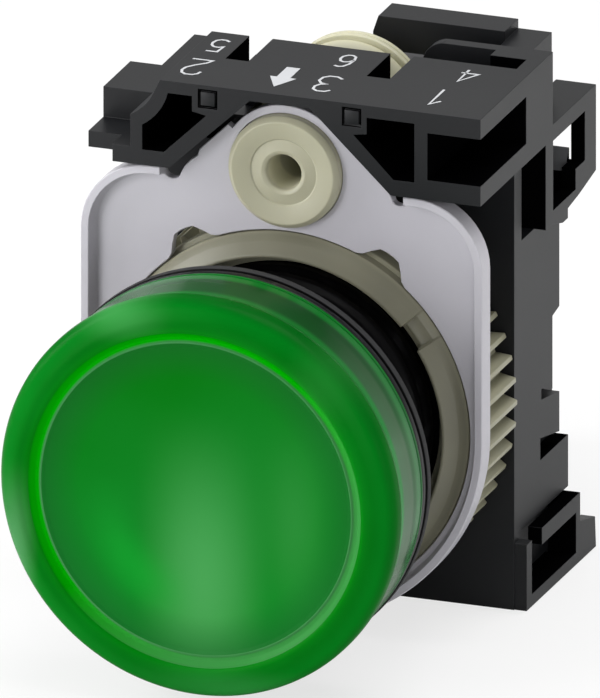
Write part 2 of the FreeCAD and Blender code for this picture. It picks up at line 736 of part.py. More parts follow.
def make_pinion():
    """Toothed shaft: front journal in the plate, rear journal in the holder, driven head."""
    body = new_body("pinion", y=k.panel_gap, z=gear_distance)
    root = pinion_pitch - k.gear_module * 1.25
    groove = k.head_end - 1.0
    turn(body, "Revolution", [
        (0.0, k.disc_front),
        (k.pinion_journal - k.disc_chamfer, k.disc_front),
        (k.pinion_journal, k.disc_front + k.disc_chamfer * 1.2),
        (k.pinion_journal, k.journal_end),
        (root, k.journal_end),
        (root, k.shaft_start),
        (k.shaft_radius, k.shaft_start),
        (k.shaft_radius, k.shaft_end),
        (k.shaft_radius - k.head_groove, k.shaft_end),
        (k.shaft_radius - k.head_groove, groove),
        (k.head_radius, groove),
        (k.head_radius, k.head_end),
        (0.0, k.head_end)])
    tooth = pad(body, "front", k.tooth_start + 0.15, k.shaft_start,
                tooth_outline(pinion_pitch, "down"))
    repeat_round(body, tooth, k.pinion_teeth)
    hole_end = k.disc_front + k.pinion_hole_depth
    pocket(body, "front", k.disc_front, hole_end, ("circle", 0.0, 0.0, k.pinion_hole))
    pocket(body, "front", k.disc_front, k.disc_front + k.dish_depth,
           ("circle", 0.0, 0.0, k.pinion_dish))
    half_span = k.driver_span / 2.0
    half_slot = k.driver_width / 2.0
    driver_start = k.head_end - k.driver_depth
    pocket(body, "front", driver_start, k.head_end,
           box_corners(-half_span, -half_slot, half_span, half_slot))
    pocket(body, "front", driver_start, k.head_end,
           box_corners(-half_slot, -half_span, half_slot, half_span))
    return body


def make_holder():
    """Black frame: marked bar, wall with the neck's bore, side walls, loops, feet and rails."""
    body = new_body("holder")
    gap = k.panel_gap
    # bar with its stepped left end
    left = -k.bar_left
    pad(body, "front", bar_front, bar_rear, [
        (left, k.top_height),
        (left - 0.45, k.top_height - 0.95),
        (left - 2.2, k.top_height - 2.8, 3.6, -1),
        (left - 2.2, k.arm_top - 0.2),
        (left - 3.54, k.arm_top - 0.2),
        (left - 3.54, k.arm_bottom),
        (k.half_width, k.arm_bottom),
        (k.half_width, k.top_height)])
    # thin front wall and the thicker wall that carries the bores
    plate_half = k.half_width - k.side_inset
    pad(body, "front", wall_front, wall_front + k.front_wall,
        box_corners(-plate_half, -k.foot_height, plate_half, k.arm_bottom + 0.5))
    pad(body, "front", wall_front, wall_back,
        box_corners(-k.web_outer, -k.foot_height, k.web_outer, k.arm_bottom + 0.5))
    # cradle of the pinion
    pad(body, "front", gap + k.cradle_front, wall_back,
        box_corners(-k.cradle_half, k.arm_bottom - 2.0, k.cradle_half, k.cradle_top))
    # left arm and stub
    pad(body, "front", gap + k.arm_front, bar_rear - 0.1,
        box_corners(-k.half_width, k.arm_bottom + 0.1, left, k.cradle_top))
    pad(body, "front", gap + k.stub_front, wall_back,
        box_corners(-k.half_width, k.arm_bottom + 0.1, left - 3.0, k.arm_top - 0.2))
    # right end: lower arm, strip and solid corner behind the slot
    corner_left = k.half_width - k.corner_width
    pad(body, "front", bar_rear - 1.5, wall_back,
        box_corners(k.half_width - k.strip_width, k.arm_bottom, k.half_width, k.top_height))
    pad(body, "front", gap + k.slot_back, wall_back,
        box_corners(corner_left, k.arm_bottom, k.half_width, k.top_height))
    pad(body, "front", wall_back - 1.0, wall_back, [
        (corner_left - k.screen_width, k.arm_bottom - 1.0),
        (corner_left + 0.1, k.arm_bottom - 1.0),
        (corner_left + 0.1, k.top_height),
        (corner_left - k.screen_width + 1.65, k.top_height),
        (corner_left - k.screen_width, k.top_height - 1.65, 1.7, 1)])
    # rear top block and the lower part that joins it to the corner
    step_top = k.top_height - k.block_step
    pad(body, "front", gap + k.block_front, gap + k.block_back, [
        (k.block_left - 0.4, k.arm_bottom + 4.0),
        (k.block_right, k.arm_bottom + 4.0),
        (k.block_right, k.top_height),
        (k.block_left, k.top_height),
        (k.block_left - 0.4, k.top_height - 1.2)])
    pad(body, "front", wall_back - 0.1, gap + k.block_back,
        box_corners(k.web_outer - 2.5, k.loop_top - 1.0, k.web_outer, step_top))
    pad(body, "front", gap + k.block_front, gap + k.block_back,
        box_corners(k.block_right - 0.1, k.arm_bottom + 4.0, k.web_outer, step_top))
    for side in (-1.0, 1.0):
        make_holder_side(body, side)
    make_holder_rails(body)
    make_holder_cuts(body)
    return body


def make_holder_side(body, side):
    """Web, pads, ear, rear loop and foot on one side."""
    gap = k.panel_gap
    web_inner = k.web_outer - k.side_wall
    outer = k.half_width
    skin = outer - k.loop_wall
    back = gap + k.web_back

    def slab(near, far, outline, kind=pad):
        low, high = (near, far) if side > 0 else (-as_size(far), -as_size(near))
        return kind(body, "side", low, high, outline)

    # web behind the wall
    slab(web_inner, k.web_outer,
         box_corners(wall_front, -k.foot_height, back, k.arm_bottom + 0.1))
    # flat side wall with a stepped rear edge
    slab(web_inner, outer - k.side_inset, [
        (wall_front, -k.side_bottom),
        (back, -k.side_bottom),
        (back, -6.24),
        (gap + 14.43, -6.24),
        (gap + 14.43, -4.6),
        (gap + k.side_rear, -5.4),
        (gap + k.side_rear, -2.4),
        (gap + 14.65, -1.78),
        (gap + 14.65, -0.9),
        (gap + k.side_waist, -1.75),
        (gap + k.side_waist, 3.7),
        (gap + k.side_rear, 3.95),
        (gap + k.side_rear, k.side_top),
        (wall_front, k.side_top)])
    # ear beside the plate's shoulder
    slab(web_inner, outer,
         box_corners(gap + 13.07, k.side_top, gap + 14.45, k.arm_bottom + 0.1))
    # loop: skin with its window, flange on top and a sloped block behind
    slab(skin, outer, [
        (gap + 14.4, k.side_top), (gap + 16.6, 10.87), (gap + 17.65, 10.87), (gap + 17.65, 11.6),
        (gap + 20.1, 11.9), (holder_rear, 12.5), (holder_rear, k.loop_top),
        (gap + 14.4, k.loop_top)])
    slab(outer - k.loop_depth, outer,
         box_corners(gap + 14.4, k.loop_top - k.loop_flange, holder_rear, k.loop_top))
    slab(outer - k.loop_depth - 1.0, skin + 0.1, [
        (gap + 16.8, 11.0), (gap + 21.05, 11.0), (gap + 21.05, 14.85), (gap + 20.05, 13.4),
        (gap + 20.05, 12.1), (gap + 16.8, 12.1)])
    # foot: skin with its strip, front post and rear rib
    slab(skin, outer, [
        (gap + 9.16, -k.foot_height), (holder_rear, -k.foot_height), (holder_rear - 0.2, -13.3),
        (gap + 20.1, -12.6), (gap + 20.1, -10.45), (gap + 12.3, -10.45), (gap + 12.3, -11.7),
        (gap + 10.24, -11.7), (gap + 10.24, -10.65), (gap + 9.16, -10.65)])
    slab(k.web_outer - 0.1, outer,
         box_corners(gap + 9.16, -k.foot_height, gap + 10.24, -10.65))
    slab(web_inner, outer, box_corners(gap + 19.3, -k.foot_height, back, -10.45))
    # windows of loop and foot
    slab(skin - 0.1, outer + 0.5, box_corners(gap + 14.6, 12.5, gap + 19.2, 17.68), pocket)
    slab(skin - 0.1, outer + 0.5, box_corners(gap + 19.1, 14.0, gap + 21.1, 17.68), pocket)
    slab(skin - 0.1, outer + 0.5, box_corners(gap + 10.24, -14.7, gap + 19.3, -11.7), pocket)


def make_holder_rails(body):
    """Rails for the lamp holder block, above and below the bore."""
    gap = k.panel_gap
    rail_top = k.rail_bottom + k.rail_thickness
    pad(body, "front", wall_back - 0.5, gap + k.rail_back,
        box_corners(-k.web_outer, k.rail_bottom, k.web_outer, rail_top))
    pad(body, "front", gap + 9.16, gap + k.rail_back,
        box_corners(-k.half_width, -k.foot_height, k.half_width, -k.foot_height + k.floor_height))


def make_holder_cuts(body):
    """Everything that is cut out of the holder."""
    gap = k.panel_gap
    through = wall_back + 1.0
    # V for the tongue and the pinion
    vee_top = k.tongue_top + k.vee_clear + 0.1
    pocket(body, "front", bar_front, bar_rear, [
        (-k.tongue_foot - 0.9, k.arm_bottom - 1.0),
        (k.tongue_foot + 0.3, k.arm_bottom - 1.0),
        (k.tongue_foot + 0.3, k.arm_bottom),
        (k.tongue_half + 0.25, vee_top),
        (-k.tongue_half - 0.25, vee_top),
        (-k.tongue_foot - 0.3, k.arm_bottom)])
    # bores for neck and pinion
    pocket(body, "front", wall_front - 1.0, through,
           ("circle", 0.0, 0.0, k.neck_radius + k.bore_clear))
    pocket(body, "front", wall_front - 1.0, through,
           ("circle", 0.0, gear_distance, k.shaft_radius + k.shaft_clear))
    # moulded cells of the bar
    cell_end = bar_front + k.cell_depth
    pocket(body, "front", bar_front, cell_end, [
        (-8.34, 23.44, 4.2, 1), (-6.55, 23.44), (-6.55, 22.3), (-5.5, 22.1), (-8.65, 19.0),
        (-10.26, 19.0), (-10.26, 20.85)])
    pocket(body, "front", bar_front, cell_end, [
        (6.5, 23.44), (6.5, 22.2), (5.5, 22.05), (8.5, 19.05), (10.06, 19.05), (10.06, 23.44)])
    # square marks beside the V
    for side in (-1.0, 1.0):
        low, high = (4.65, 6.1) if side > 0 else (-6.1, -4.65)
        pocket(body, "front", bar_front, bar_front + k.mark_depth,
               box_corners(low, 22.65, high, 24.05),
               box_corners(low + 0.2, 22.85, high - 0.2, 23.85))
    # opening in the right end
    pocket(body, "front", bar_front, wall_front,
           box_corners(k.end_depth, k.arm_top, k.half_width + 1.0, k.end_ceiling))
    # notches in the rear edge of the bar's top
    for side in (-1.0, 1.0):
        low, high = (k.notch_inner, k.notch_outer) if side > 0 else (-k.notch_outer, -k.notch_inner)
        pocket(body, "front", gap + k.notch_front, bar_rear,
               box_corners(low, k.arm_bottom, high, k.top_height + 1.0))
    # room for the pinion's head and for the screwdriver behind it
    pocket(body, "front", wall_back, gap + k.head_end + k.head_clear,
           ("circle", 0.0, gear_distance, k.head_radius + k.head_clear))
    pocket(body, "front", gap + k.head_end, gap + k.rail_back + 0.1,
           ("circle", 0.0, gear_distance, k.driver_room))
    # catch grooves in both rails
    groove_end = gap + k.catch_start + k.catch_width
    half = k.hook_half + 0.3
    pocket(body, "front", gap + k.catch_start, groove_end, box_corners(
        -half, k.rail_bottom - 0.2, half, k.rail_bottom + k.catch_depth))
    pocket(body, "front", gap + k.catch_start, groove_end, box_corners(
        -half, -k.foot_height + 0.2, half, -k.foot_height + k.floor_height + 0.1))


def make_block_body():
    """Casing of the lamp holder block with its two snap arms."""
    body = new_body("block_body", y=k.panel_gap)
    wall = k.casing_wall
    pad(body, "front", k.casing_front, k.casing_back,
        box_corners(-k.block_half, -k.block_height, k.block_half, k.block_height))
    pocket(body, "front", k.casing_front + wall, k.casing_back, box_corners(
        -k.block_half + wall, -k.block_height + wall, k.block_half - wall, k.block_height - wall))
    arm_low = k.block_height - 0.6
    for side, reach in ((1.0, k.hook_top), (-1.0, k.hook_bottom)):
        pad(body, "side", -k.hook_half, k.hook_half, [
            (k.hook_front, side * arm_low),
            (k.casing_front + 1.0, side * arm_low),
            (k.casing_front + 1.0, side * reach),
            (k.hook_front + k.hook_nose_width, side * reach),
            (k.hook_front + k.hook_nose_width, side * (reach + k.hook_nose)),
            (k.hook_front, side * reach)])
    pocket(body, "front", k.casing_front - 0.1, k.casing_front + wall + 0.1,
           ("circle", 0.0, 0.0, k.contact_radius + 1.2))
    wire_place = k.terminal_place - k.wire_room / 2.0
    pocket(body, "top", -k.block_height - 0.1, -k.block_height + wall + 0.1,
           ("circle", 0.0, wire_place, k.wire_hole))
    pocket(body, "top", k.block_height - wall - 0.1, k.block_height + 0.1,
           ("circle", 0.0, wire_place, k.wire_hole))
    return body


def make_block_cover():
    """Rear cover of the block with a hole over each terminal screw."""
    body = new_body("block_cover", y=casing_back)
    inset = k.casing_wall + k.cover_clear
    pad(body, "front", 0.0, k.cover_thickness,
        box_corners(-k.block_half, -k.block_height, k.block_half, k.block_height))
    pad(body, "front", -k.cover_lip, 0.0, box_corners(
        -k.block_half + inset, -k.block_height + inset, k.block_half - inset,
        k.block_height - inset))
    for side in (-1.0, 1.0):
        pocket(body, "front", -k.cover_lip - 0.1, k.cover_thickness + 0.1,
               ("circle", 0.0, side * k.terminal_height, k.screw_access))
    return body


def make_lamp():
    """Bayonet lamp: bulb, filament on its supports, cap, insulating base and foot contact."""
    gap = k.panel_gap
    glass = new_body("lamp_glass", y=gap)
    inner = k.glass_radius - k.glass_wall
    neck = k.cap_radius - k.cap_wall - 0.1
    tip = -k.lamp_tip
    dome = 1.5
    turn(glass, "Revolution", [
        (0.0, tip),
        (k.glass_radius, tip + k.glass_radius - 0.02, k.glass_radius, 1),
        (k.glass_radius, k.cap_start - dome),
        (neck, k.cap_start - 0.3),
        (neck, k.glass_end),
        (neck - k.glass_wall, k.glass_end),
        (neck - k.glass_wall, k.cap_start - 0.4),
        (inner, k.cap_start - dome - 0.1),
        (inner, tip + k.glass_radius),
        (0.0, tip + k.glass_wall, inner, -1)])
    filament = new_body("lamp_filament", y=gap)
    reach = k.cap_start - k.filament_reach
    for side in (-1.0, 1.0):
        pad(filament, "front", reach, k.cap_end - 1.0,
            ("circle", side * k.filament_span, 0.0, k.filament_radius))
    pad(filament, "side", -k.filament_span, k.filament_span,
        ("circle", reach + k.filament_radius, 0.0, k.filament_radius * 0.9))
    pad(filament, "front", k.glass_end - 1.0, k.cap_end - 1.2, ("circle", 0.0, 0.0, 2.2))
    cap = new_body("lamp_cap", y=gap)
    turn(cap, "Revolution", [
        (k.cap_radius, k.cap_start),
        (k.cap_radius, k.cap_end),
        (k.contact_radius + 1.0, k.cap_end),
        (k.contact_radius + 1.0, k.cap_end - k.cap_wall),
        (k.cap_radius - k.cap_wall, k.cap_end - k.cap_wall),
        (k.cap_radius - k.cap_wall, k.cap_start)])
    for side in (-1.0, 1.0):
        near, far = k.cap_radius - k.cap_wall, k.cap_radius + k.pin_reach
        low, high = (near, far) if side > 0 else (-far, -near)
        pad(cap, "side", low, high, ("circle", k.pin_place, 0.0, k.pin_radius))
    base = new_body("lamp_insulator", y=gap + k.cap_end)
    pad(base, "front", 0.0, k.base_thickness, ("circle", 0.0, 0.0, k.cap_radius - 0.6))
    contact = new_body("lamp_contact", y=gap + k.cap_end + k.base_thickness)
    pad(contact, "front", 0.0, k.contact_height, ("circle", 0.0, 0.0, k.contact_radius))
    soften(contact, "Fillet", k.contact_height / 2.0, round_edge(k.contact_radius, k.contact_height))
    return [glass, filament, cap, base, contact]


def make_socket_shell():
    """Sheet sleeve with two pin slots and a foot that sits on the block's front."""
    body = new_body("socket_shell", y=k.panel_gap)
    inner = k.cap_radius + k.socket_clear
    outer = inner + k.socket_wall
    turn(body, "Revolution", [
        (inner, k.socket_start),
        (outer, k.socket_start),
        (outer, k.casing_front - k.socket_wall),
        (k.socket_flange - 1.6, k.casing_front - k.socket_wall),
        (k.socket_flange - 1.6, k.casing_front),
        (inner, k.casing_front)])
    half = k.socket_slot / 2.0
    slot_end = k.pin_place + half
    pocket(body, "front", k.socket_start - 0.1, slot_end,
           box_corners(-outer - 1.0, -half, outer + 1.0, half))
    return body


def make_terminals():
    """Strips, clamp washers and screws of the two terminals, and the leaf under the lamp."""
    pieces = []
    gap = k.panel_gap
    inside = k.casing_front + k.casing_wall
    for name, side in (("top", 1.0), ("bottom", -1.0)):
        strip = new_body("terminal_strip_" + name, y=gap)
        centre = side * k.terminal_height
        edge = k.block_height - k.casing_wall - 0.1
        low, high = (3.6, edge) if side > 0 else (-edge, -3.6)
        place = k.terminal_place
        pad(strip, "front", place, place + k.strip_thickness,
            box_corners(-k.strip_half, low, k.strip_half, high))
        foot_low, foot_high = (3.6, 3.6 + k.strip_thickness) if side > 0 else (
            -3.6 - k.strip_thickness, -3.6)
        pad(strip, "front", inside + 0.1, place,
            box_corners(-k.strip_half, foot_low, k.strip_half, foot_high))
        pocket(strip, "front", place - 0.1, place + k.strip_thickness + 0.1,
               ("circle", 0.0, centre, k.screw_radius + k.screw_clear))
        washer_place = gap + place + k.strip_thickness + k.wire_room
        washer = new_body("clamp_washer_" + name, y=washer_place, z=centre)
        pad(washer, "front", 0.0, k.washer_thickness,
            box_corners(-k.washer_half, -k.washer_half, k.washer_half, k.washer_half))
        pocket(washer, "front", 0.0, k.washer_thickness,
               ("circle", 0.0, 0.0, k.screw_radius + k.screw_clear))
        head_place = washer_place + k.washer_thickness
        screw = new_body("terminal_screw_" + name, y=head_place, z=centre)
        pad(screw, "front", 0.0, k.screw_head_height, ("circle", 0.0, 0.0, k.screw_head))
        pad(screw, "front", -k.screw_length, 0.0, ("circle", 0.0, 0.0, k.screw_radius))
        half = k.screw_head - 0.6
        for across in (0, 1):
            a, b = (half, 0.35) if across else (0.35, half)
            pocket(screw, "front", k.screw_head_height - 1.0, k.screw_head_height,
                   box_corners(-as_size(a), -as_size(b), a, b))
        pieces += [strip, washer, screw]
    return pieces


def make_contact_leaf():
    """Bent spring leaf between the foot contact and the lower strip."""
    body = new_body("contact_leaf", y=k.panel_gap)
    touch = k.cap_end + k.base_thickness + k.contact_height + 0.05
    t = 0.3
    pad(body, "side", -1.2, 1.2, [
        (touch, 1.5),
        (touch, -1.0),
        (touch + 2.2, -3.3),
        (touch + 5.0, -3.3),
        (touch + 5.0, -3.3 + t),
        (touch + 2.3, -3.3 + t),
        (touch + t, -1.0 + t / 2.0),
        (touch + t, 1.5)])
    return body


make_bezel()
make_panel_seal()
make_lens()
make_lens_seal()
make_diffuser_disc()
make_reflector()
make_pressure_plate()
make_clamp_ring()
make_pinion()
make_holder()
make_block_body()
make_block_cover()
make_lamp()
make_socket_shell()
make_terminals()
make_contact_leaf()

doc.recompute()

# Every object has to be sound before anything is written
for item in doc.Objects:
    if "Invalid" in item.State or "Error" in item.State:
        raise RuntimeError("%s failed: %s" % (item.Label, item.State))
bodies = [item for item in doc.Objects if item.TypeId == "PartDesign::Body"]
for body in bodies:
    if body.Shape.isNull() or not body.Shape.isValid():
        raise RuntimeError(body.Label + " has no valid shape")

os.makedirs("parts", exist_ok=True)
for body in bodies:
    body.Shape.exportStep("parts/%s.step" % body.Label)
    box = body.Shape.BoundBox
    print("%-22s %8.1f mm3, solids %d, y %.2f to %.2f, z %.2f to %.2f" % (
        body.Label, body.Shape.Volume, len(body.Shape.Solids),
        box.YMin, box.YMax, box.ZMin, box.ZMax))
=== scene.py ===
import bpy
import bmesh
import math
from mathutils import Matrix, Vector
from mathutils.bvhtree import BVHTree


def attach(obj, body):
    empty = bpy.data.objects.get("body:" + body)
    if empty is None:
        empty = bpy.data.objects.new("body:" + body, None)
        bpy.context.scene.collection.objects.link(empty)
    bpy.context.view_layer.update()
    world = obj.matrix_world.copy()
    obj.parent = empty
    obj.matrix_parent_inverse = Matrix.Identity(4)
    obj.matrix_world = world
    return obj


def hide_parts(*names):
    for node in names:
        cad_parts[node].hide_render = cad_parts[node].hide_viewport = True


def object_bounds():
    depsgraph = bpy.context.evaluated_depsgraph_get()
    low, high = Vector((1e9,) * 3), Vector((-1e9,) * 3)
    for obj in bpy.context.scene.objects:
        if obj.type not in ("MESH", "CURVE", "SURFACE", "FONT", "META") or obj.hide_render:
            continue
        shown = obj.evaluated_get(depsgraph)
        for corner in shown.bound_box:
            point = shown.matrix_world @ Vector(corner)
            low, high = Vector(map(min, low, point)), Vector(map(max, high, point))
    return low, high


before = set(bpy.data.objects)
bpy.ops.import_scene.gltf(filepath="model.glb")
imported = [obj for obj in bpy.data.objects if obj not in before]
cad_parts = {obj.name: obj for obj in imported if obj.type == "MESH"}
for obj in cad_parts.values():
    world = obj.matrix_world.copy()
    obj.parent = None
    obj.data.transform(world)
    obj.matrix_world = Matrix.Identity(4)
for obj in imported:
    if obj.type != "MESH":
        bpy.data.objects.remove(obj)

cad_low, cad_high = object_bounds()

MM = 0.001

# Places along the light's axis, in millimetres from the panel seat
PANEL_GAP = 9.0
COLLAR_FRONT = -1.46
COLLAR_BACK = -0.85
LENS_BACK = -1.5
SKIRT_FRONT = -7.3
NECK_END = 20.5

# Pressure plate, in millimetres
HALF_WIDTH = 15.0
PLATE_TOP = 17.7
PLATE_CORNER = 5.1
RIM_END = 9.1
RIM_SLOPE_END = 0.92
LARGE_HOLE = 13.7
LOBE_ANGLES = (59.0, 121.0)
LOBE_HALF_ANGLE = 8.6
LOBE_EASE_ANGLE = 6.6
LOBE_RISE = 1.3
JOURNAL_HOLE = 4.2
TONGUE_TIP = 4.8

# Gears, in millimetres
MODULE = 0.515
RING_TEETH = 54
PINION_TEETH = 17
PINION_HEIGHT = 18.2825
KEYWAY_ANGLE = math.radians(37.0)
KEYWAY_RADIUS = 12.6
KEYWAY_HALF_WIDTH = 1.1
KEYWAY_DEPTH = 0.85
KEYWAY_END = 9.9

# Print on the bar, in millimetres
PRINT_TOP = 24.37
PRINT_THICKNESS = 0.01
STROKE_WIDTH = 0.19

# Turn between rays that spread evenly over a half sphere
GOLDEN_TURN = 2.399963


# Node helpers

def nodes_of(material):
    """The node tree of a material, cleared down to its shader and output."""
    material.use_nodes = True
    tree = material.node_tree
    tree.nodes.clear()
    output = tree.nodes.new("ShaderNodeOutputMaterial")
    shader = tree.nodes.new("ShaderNodeBsdfPrincipled")
    tree.links.new(shader.outputs["BSDF"], output.inputs["Surface"])
    return tree, shader, output


def add_node(tree, kind, **settings):
    """A node with its properties set."""
    node = tree.nodes.new(kind)
    for name, value in settings.items():
        setattr(node, name, value)
    return node


def started(name):
    """A new material, its node tree and shader, and Object coordinates in metres."""
    material = bpy.data.materials.new(name)
    tree, shader, _ = nodes_of(material)
    return material, tree, shader, add_node(tree, "ShaderNodeTexCoord").outputs["Object"]


def axes(tree, coords):
    """The X, Y and Z of coordinates."""
    split = add_node(tree, "ShaderNodeSeparateXYZ")
    tree.links.new(coords, split.inputs[0])
    return [split.outputs[axis] for axis in "XYZ"]


def stretched(tree, coords, scale):
    """Coordinates scaled along each axis."""
    mapping = add_node(tree, "ShaderNodeMapping")
    mapping.inputs["Scale"].default_value = scale
    tree.links.new(coords, mapping.inputs["Vector"])
    return mapping.outputs["Vector"]


def grain(tree, coords, scale, detail=3.0):
    """Noise at a scale in cycles per metre."""
    noise = add_node(tree, "ShaderNodeTexNoise")
    noise.inputs["Scale"].default_value = scale
    noise.inputs["Detail"].default_value = detail
    noise.inputs["Roughness"].default_value = 0.55
    tree.links.new(coords, noise.inputs["Vector"])
    return noise.outputs["Fac"]


def feed(tree, target, value):
    """Give an input a socket, a plain number or a plain colour."""
    if isinstance(value, tuple):
        target.default_value = (*value, 1.0)
    elif isinstance(value, (int, float)):
        target.default_value = value
    else:
        tree.links.new(value, target)


def math_node(tree, operation, *values):
    """A math node on sockets or plain numbers."""
    node = add_node(tree, "ShaderNodeMath", operation=operation)
    for slot, value in enumerate(values):
        feed(tree, node.inputs[slot], value)
    return node.outputs[0]


def times(tree, first, second):
    """The product of two values."""
    return math_node(tree, "MULTIPLY", first, second)


def span(tree, value, low, high, to_low=0.0, to_high=1.0, shape="LINEAR"):
    """Map a value from one range to another, clamped."""
    node = add_node(tree, "ShaderNodeMapRange", interpolation_type=shape)
    tree.links.new(value, node.inputs["Value"])
    for name, number in (("From Min", low), ("From Max", high),
                         ("To Min", to_low), ("To Max", to_high)):
        node.inputs[name].default_value = number
    return node.outputs["Result"]


def ramp(tree, value, stops):
    """A colour ramp with the given (place, colour) stops."""
    node = add_node(tree, "ShaderNodeValToRGB")
    node.color_ramp.interpolation = "EASE"
    elements = node.color_ramp.elements
    while len(elements) < len(stops):
        elements.new(0.5)
    for element, (place, colour) in zip(elements, stops):
        element.position = place
        element.color = (*colour, 1.0)
    tree.links.new(value, node.inputs["Fac"])
    return node.outputs["Color"]


def blend_colours(tree, share, first, second):
    """Mix two colours, each a socket or a plain colour."""
    node = add_node(tree, "ShaderNodeMix", data_type="RGBA")
    for slot, value in ((0, share), (6, first), (7, second)):
        feed(tree, node.inputs[slot], value)
    return node.outputs[2]


def bump(tree, shader, height, strength, distance):
    """Bump on a shader's normal."""
    node = add_node(tree, "ShaderNodeBump")
    node.inputs["Strength"].default_value = strength
    node.inputs["Distance"].default_value = distance
    tree.links.new(height, node.inputs["Height"])
    tree.links.new(node.outputs["Normal"], shader.inputs["Normal"])


def radius_of(tree, across, height):
    """Distance from the axis of the light, from the places across and up."""
    return math_node(tree, "SQRT", math_node(tree, "ADD", times(tree, across, across),
                                             times(tree, height, height)))


def soft_band(tree, value, centre, half):
    """One at a place and falling smoothly to nothing at half a width from it."""
    off = math_node(tree, "ABSOLUTE", math_node(tree, "SUBTRACT", value, centre))
    return span(tree, off, half, 0.0, shape="SMOOTHSTEP")


def soft_spot(tree, across, height, x, z, wide, tall):
    """One at a point of the front and falling smoothly to nothing around it."""
    return times(tree, soft_band(tree, across, x, wide), soft_band(tree, height, z, tall))


def coat(tree, shader, base, roughness, specular=0.5):
    """Set a shader's colour, roughness and gloss."""
    feed(tree, shader.inputs["Base Color"], base)
    feed(tree, shader.inputs["Roughness"], roughness)
    shader.inputs["Specular IOR Level"].default_value = specular


def soften_inside(shader, weight, colour):
    """Let a little light through the surface."""
    shader.inputs["Subsurface Weight"].default_value = weight
    shader.inputs["Subsurface Radius"].default_value = colour
    shader.inputs["Subsurface Scale"].default_value = 0.0006


# Finishes

def moulded(name, colour, shade, rough, rough_spread=0.08, grain_size=5200.0, depth=0.00001,
            specular=0.5, soft=0.0):
    """Moulded plastic: fine grain, faint flow marks and uneven sheen."""
    material, tree, shader, coords = started(name)
    flow = grain(tree, coords, 110.0, 2.0)
    speck = grain(tree, coords, grain_size, 2.0)
    base = blend_colours(tree, span(tree, flow, 0.3, 0.7), colour, shade)
    uneven = math_node(tree, "ADD", span(tree, flow, 0.3, 0.7, -0.5, 0.5),
                       span(tree, speck, 0.3, 0.7, -0.5, 0.5))
    coat(tree, shader, base,
         span(tree, uneven, -1.0, 1.0, rough - rough_spread, rough + rough_spread), specular)
    if soft:
        soften_inside(shader, soft, (1.0, 1.0, 0.9))
    bump(tree, shader, speck, 0.25, depth)
    return material


def rubber(name):
    """Dull black rubber with a bloom."""
    material, tree, shader, coords = started(name)
    bloom = grain(tree, coords, 420.0, 4.0)
    base = blend_colours(tree, span(tree, bloom, 0.35, 0.75),
                         (0.02, 0.02, 0.021), (0.028, 0.028, 0.03))
    coat(tree, shader, base, span(tree, bloom, 0.3, 0.7, 0.62, 0.8), 0.3)
    bump(tree, shader, grain(tree, coords, 6500.0), 0.3, 0.00001)
    return material


def metal(name, colour, rough, stretch=(1.0, 1.0, 1.0), scratch=0.2, tarnish=None):
    """Drawn or pressed metal: fine lines along one way and slight tarnish."""
    material, tree, shader, coords = started(name)
    lines = grain(tree, stretched(tree, coords, stretch), 2600.0)
    cloud = grain(tree, coords, 300.0)
    base = blend_colours(tree, span(tree, cloud, 0.35, 0.75, 0.0, 0.7), colour,
                         tarnish or tuple(0.6 * c for c in colour))
    coat(tree, shader, base, span(tree, lines, 0.3, 0.7, rough - 0.07, rough + 0.1))
    shader.inputs["Metallic"].default_value = 1.0
    bump(tree, shader, lines, scratch, 0.000006)
    return material


def tinted_face():
    """Dished face: tinted plastic with random clouds, darker towards the rim, with painted shade
    towards the top, painted reflection haze low and on the right, and a painted highlight arc on
    the lower left.
    """
    material, tree, shader, coords = started("lens_face_green")
    across, _, height = axes(tree, coords)
    radius = radius_of(tree, across, height)
    cloud = grain(tree, coords, 70.0, 1.5)
    # painted shade: darker towards the top
    base = blend_colours(tree, span(tree, height, 0.009, -0.008),
                         (0.0, 0.137, 0.003), (0.002, 0.176, 0.012))
    # painted reflection haze, low in the middle and on the right
    low = soft_spot(tree, across, height, 0.0004, -0.0058, 0.0055, 0.013)
    side = soft_spot(tree, across, height, 0.0072, -0.001, 0.0036, 0.009)
    painted_reflection_haze = math_node(tree, "ADD", times(tree, low, 0.85), times(tree, side, 0.24))
    # painted highlight arc on the lower left
    painted_highlight_arc = times(tree, soft_band(tree, radius, 0.0074, 0.0028),
                     times(tree, soft_band(tree, across, -0.0048, 0.0052),
                           span(tree, height, 0.001, -0.004)))
    for share, colour in (
            (painted_reflection_haze, (0.062, 0.3, 0.08)),
            (times(tree, painted_highlight_arc, 0.6), (0.004, 0.29, 0.02)),
            (span(tree, cloud, 0.42, 0.75, 0.0, 0.25), (0.01, 0.2, 0.03)),
            (span(tree, radius, 0.0088, 0.0118, 0.0, 0.62), (0.008, 0.085, 0.018))):
        base = blend_colours(tree, share, base, colour)
    coat(tree, shader, base, span(tree, cloud, 0.3, 0.7, 0.3, 0.38), 0.03)
    bump(tree, shader, grain(tree, coords, 5200.0), 0.12, 0.000008)
    return material


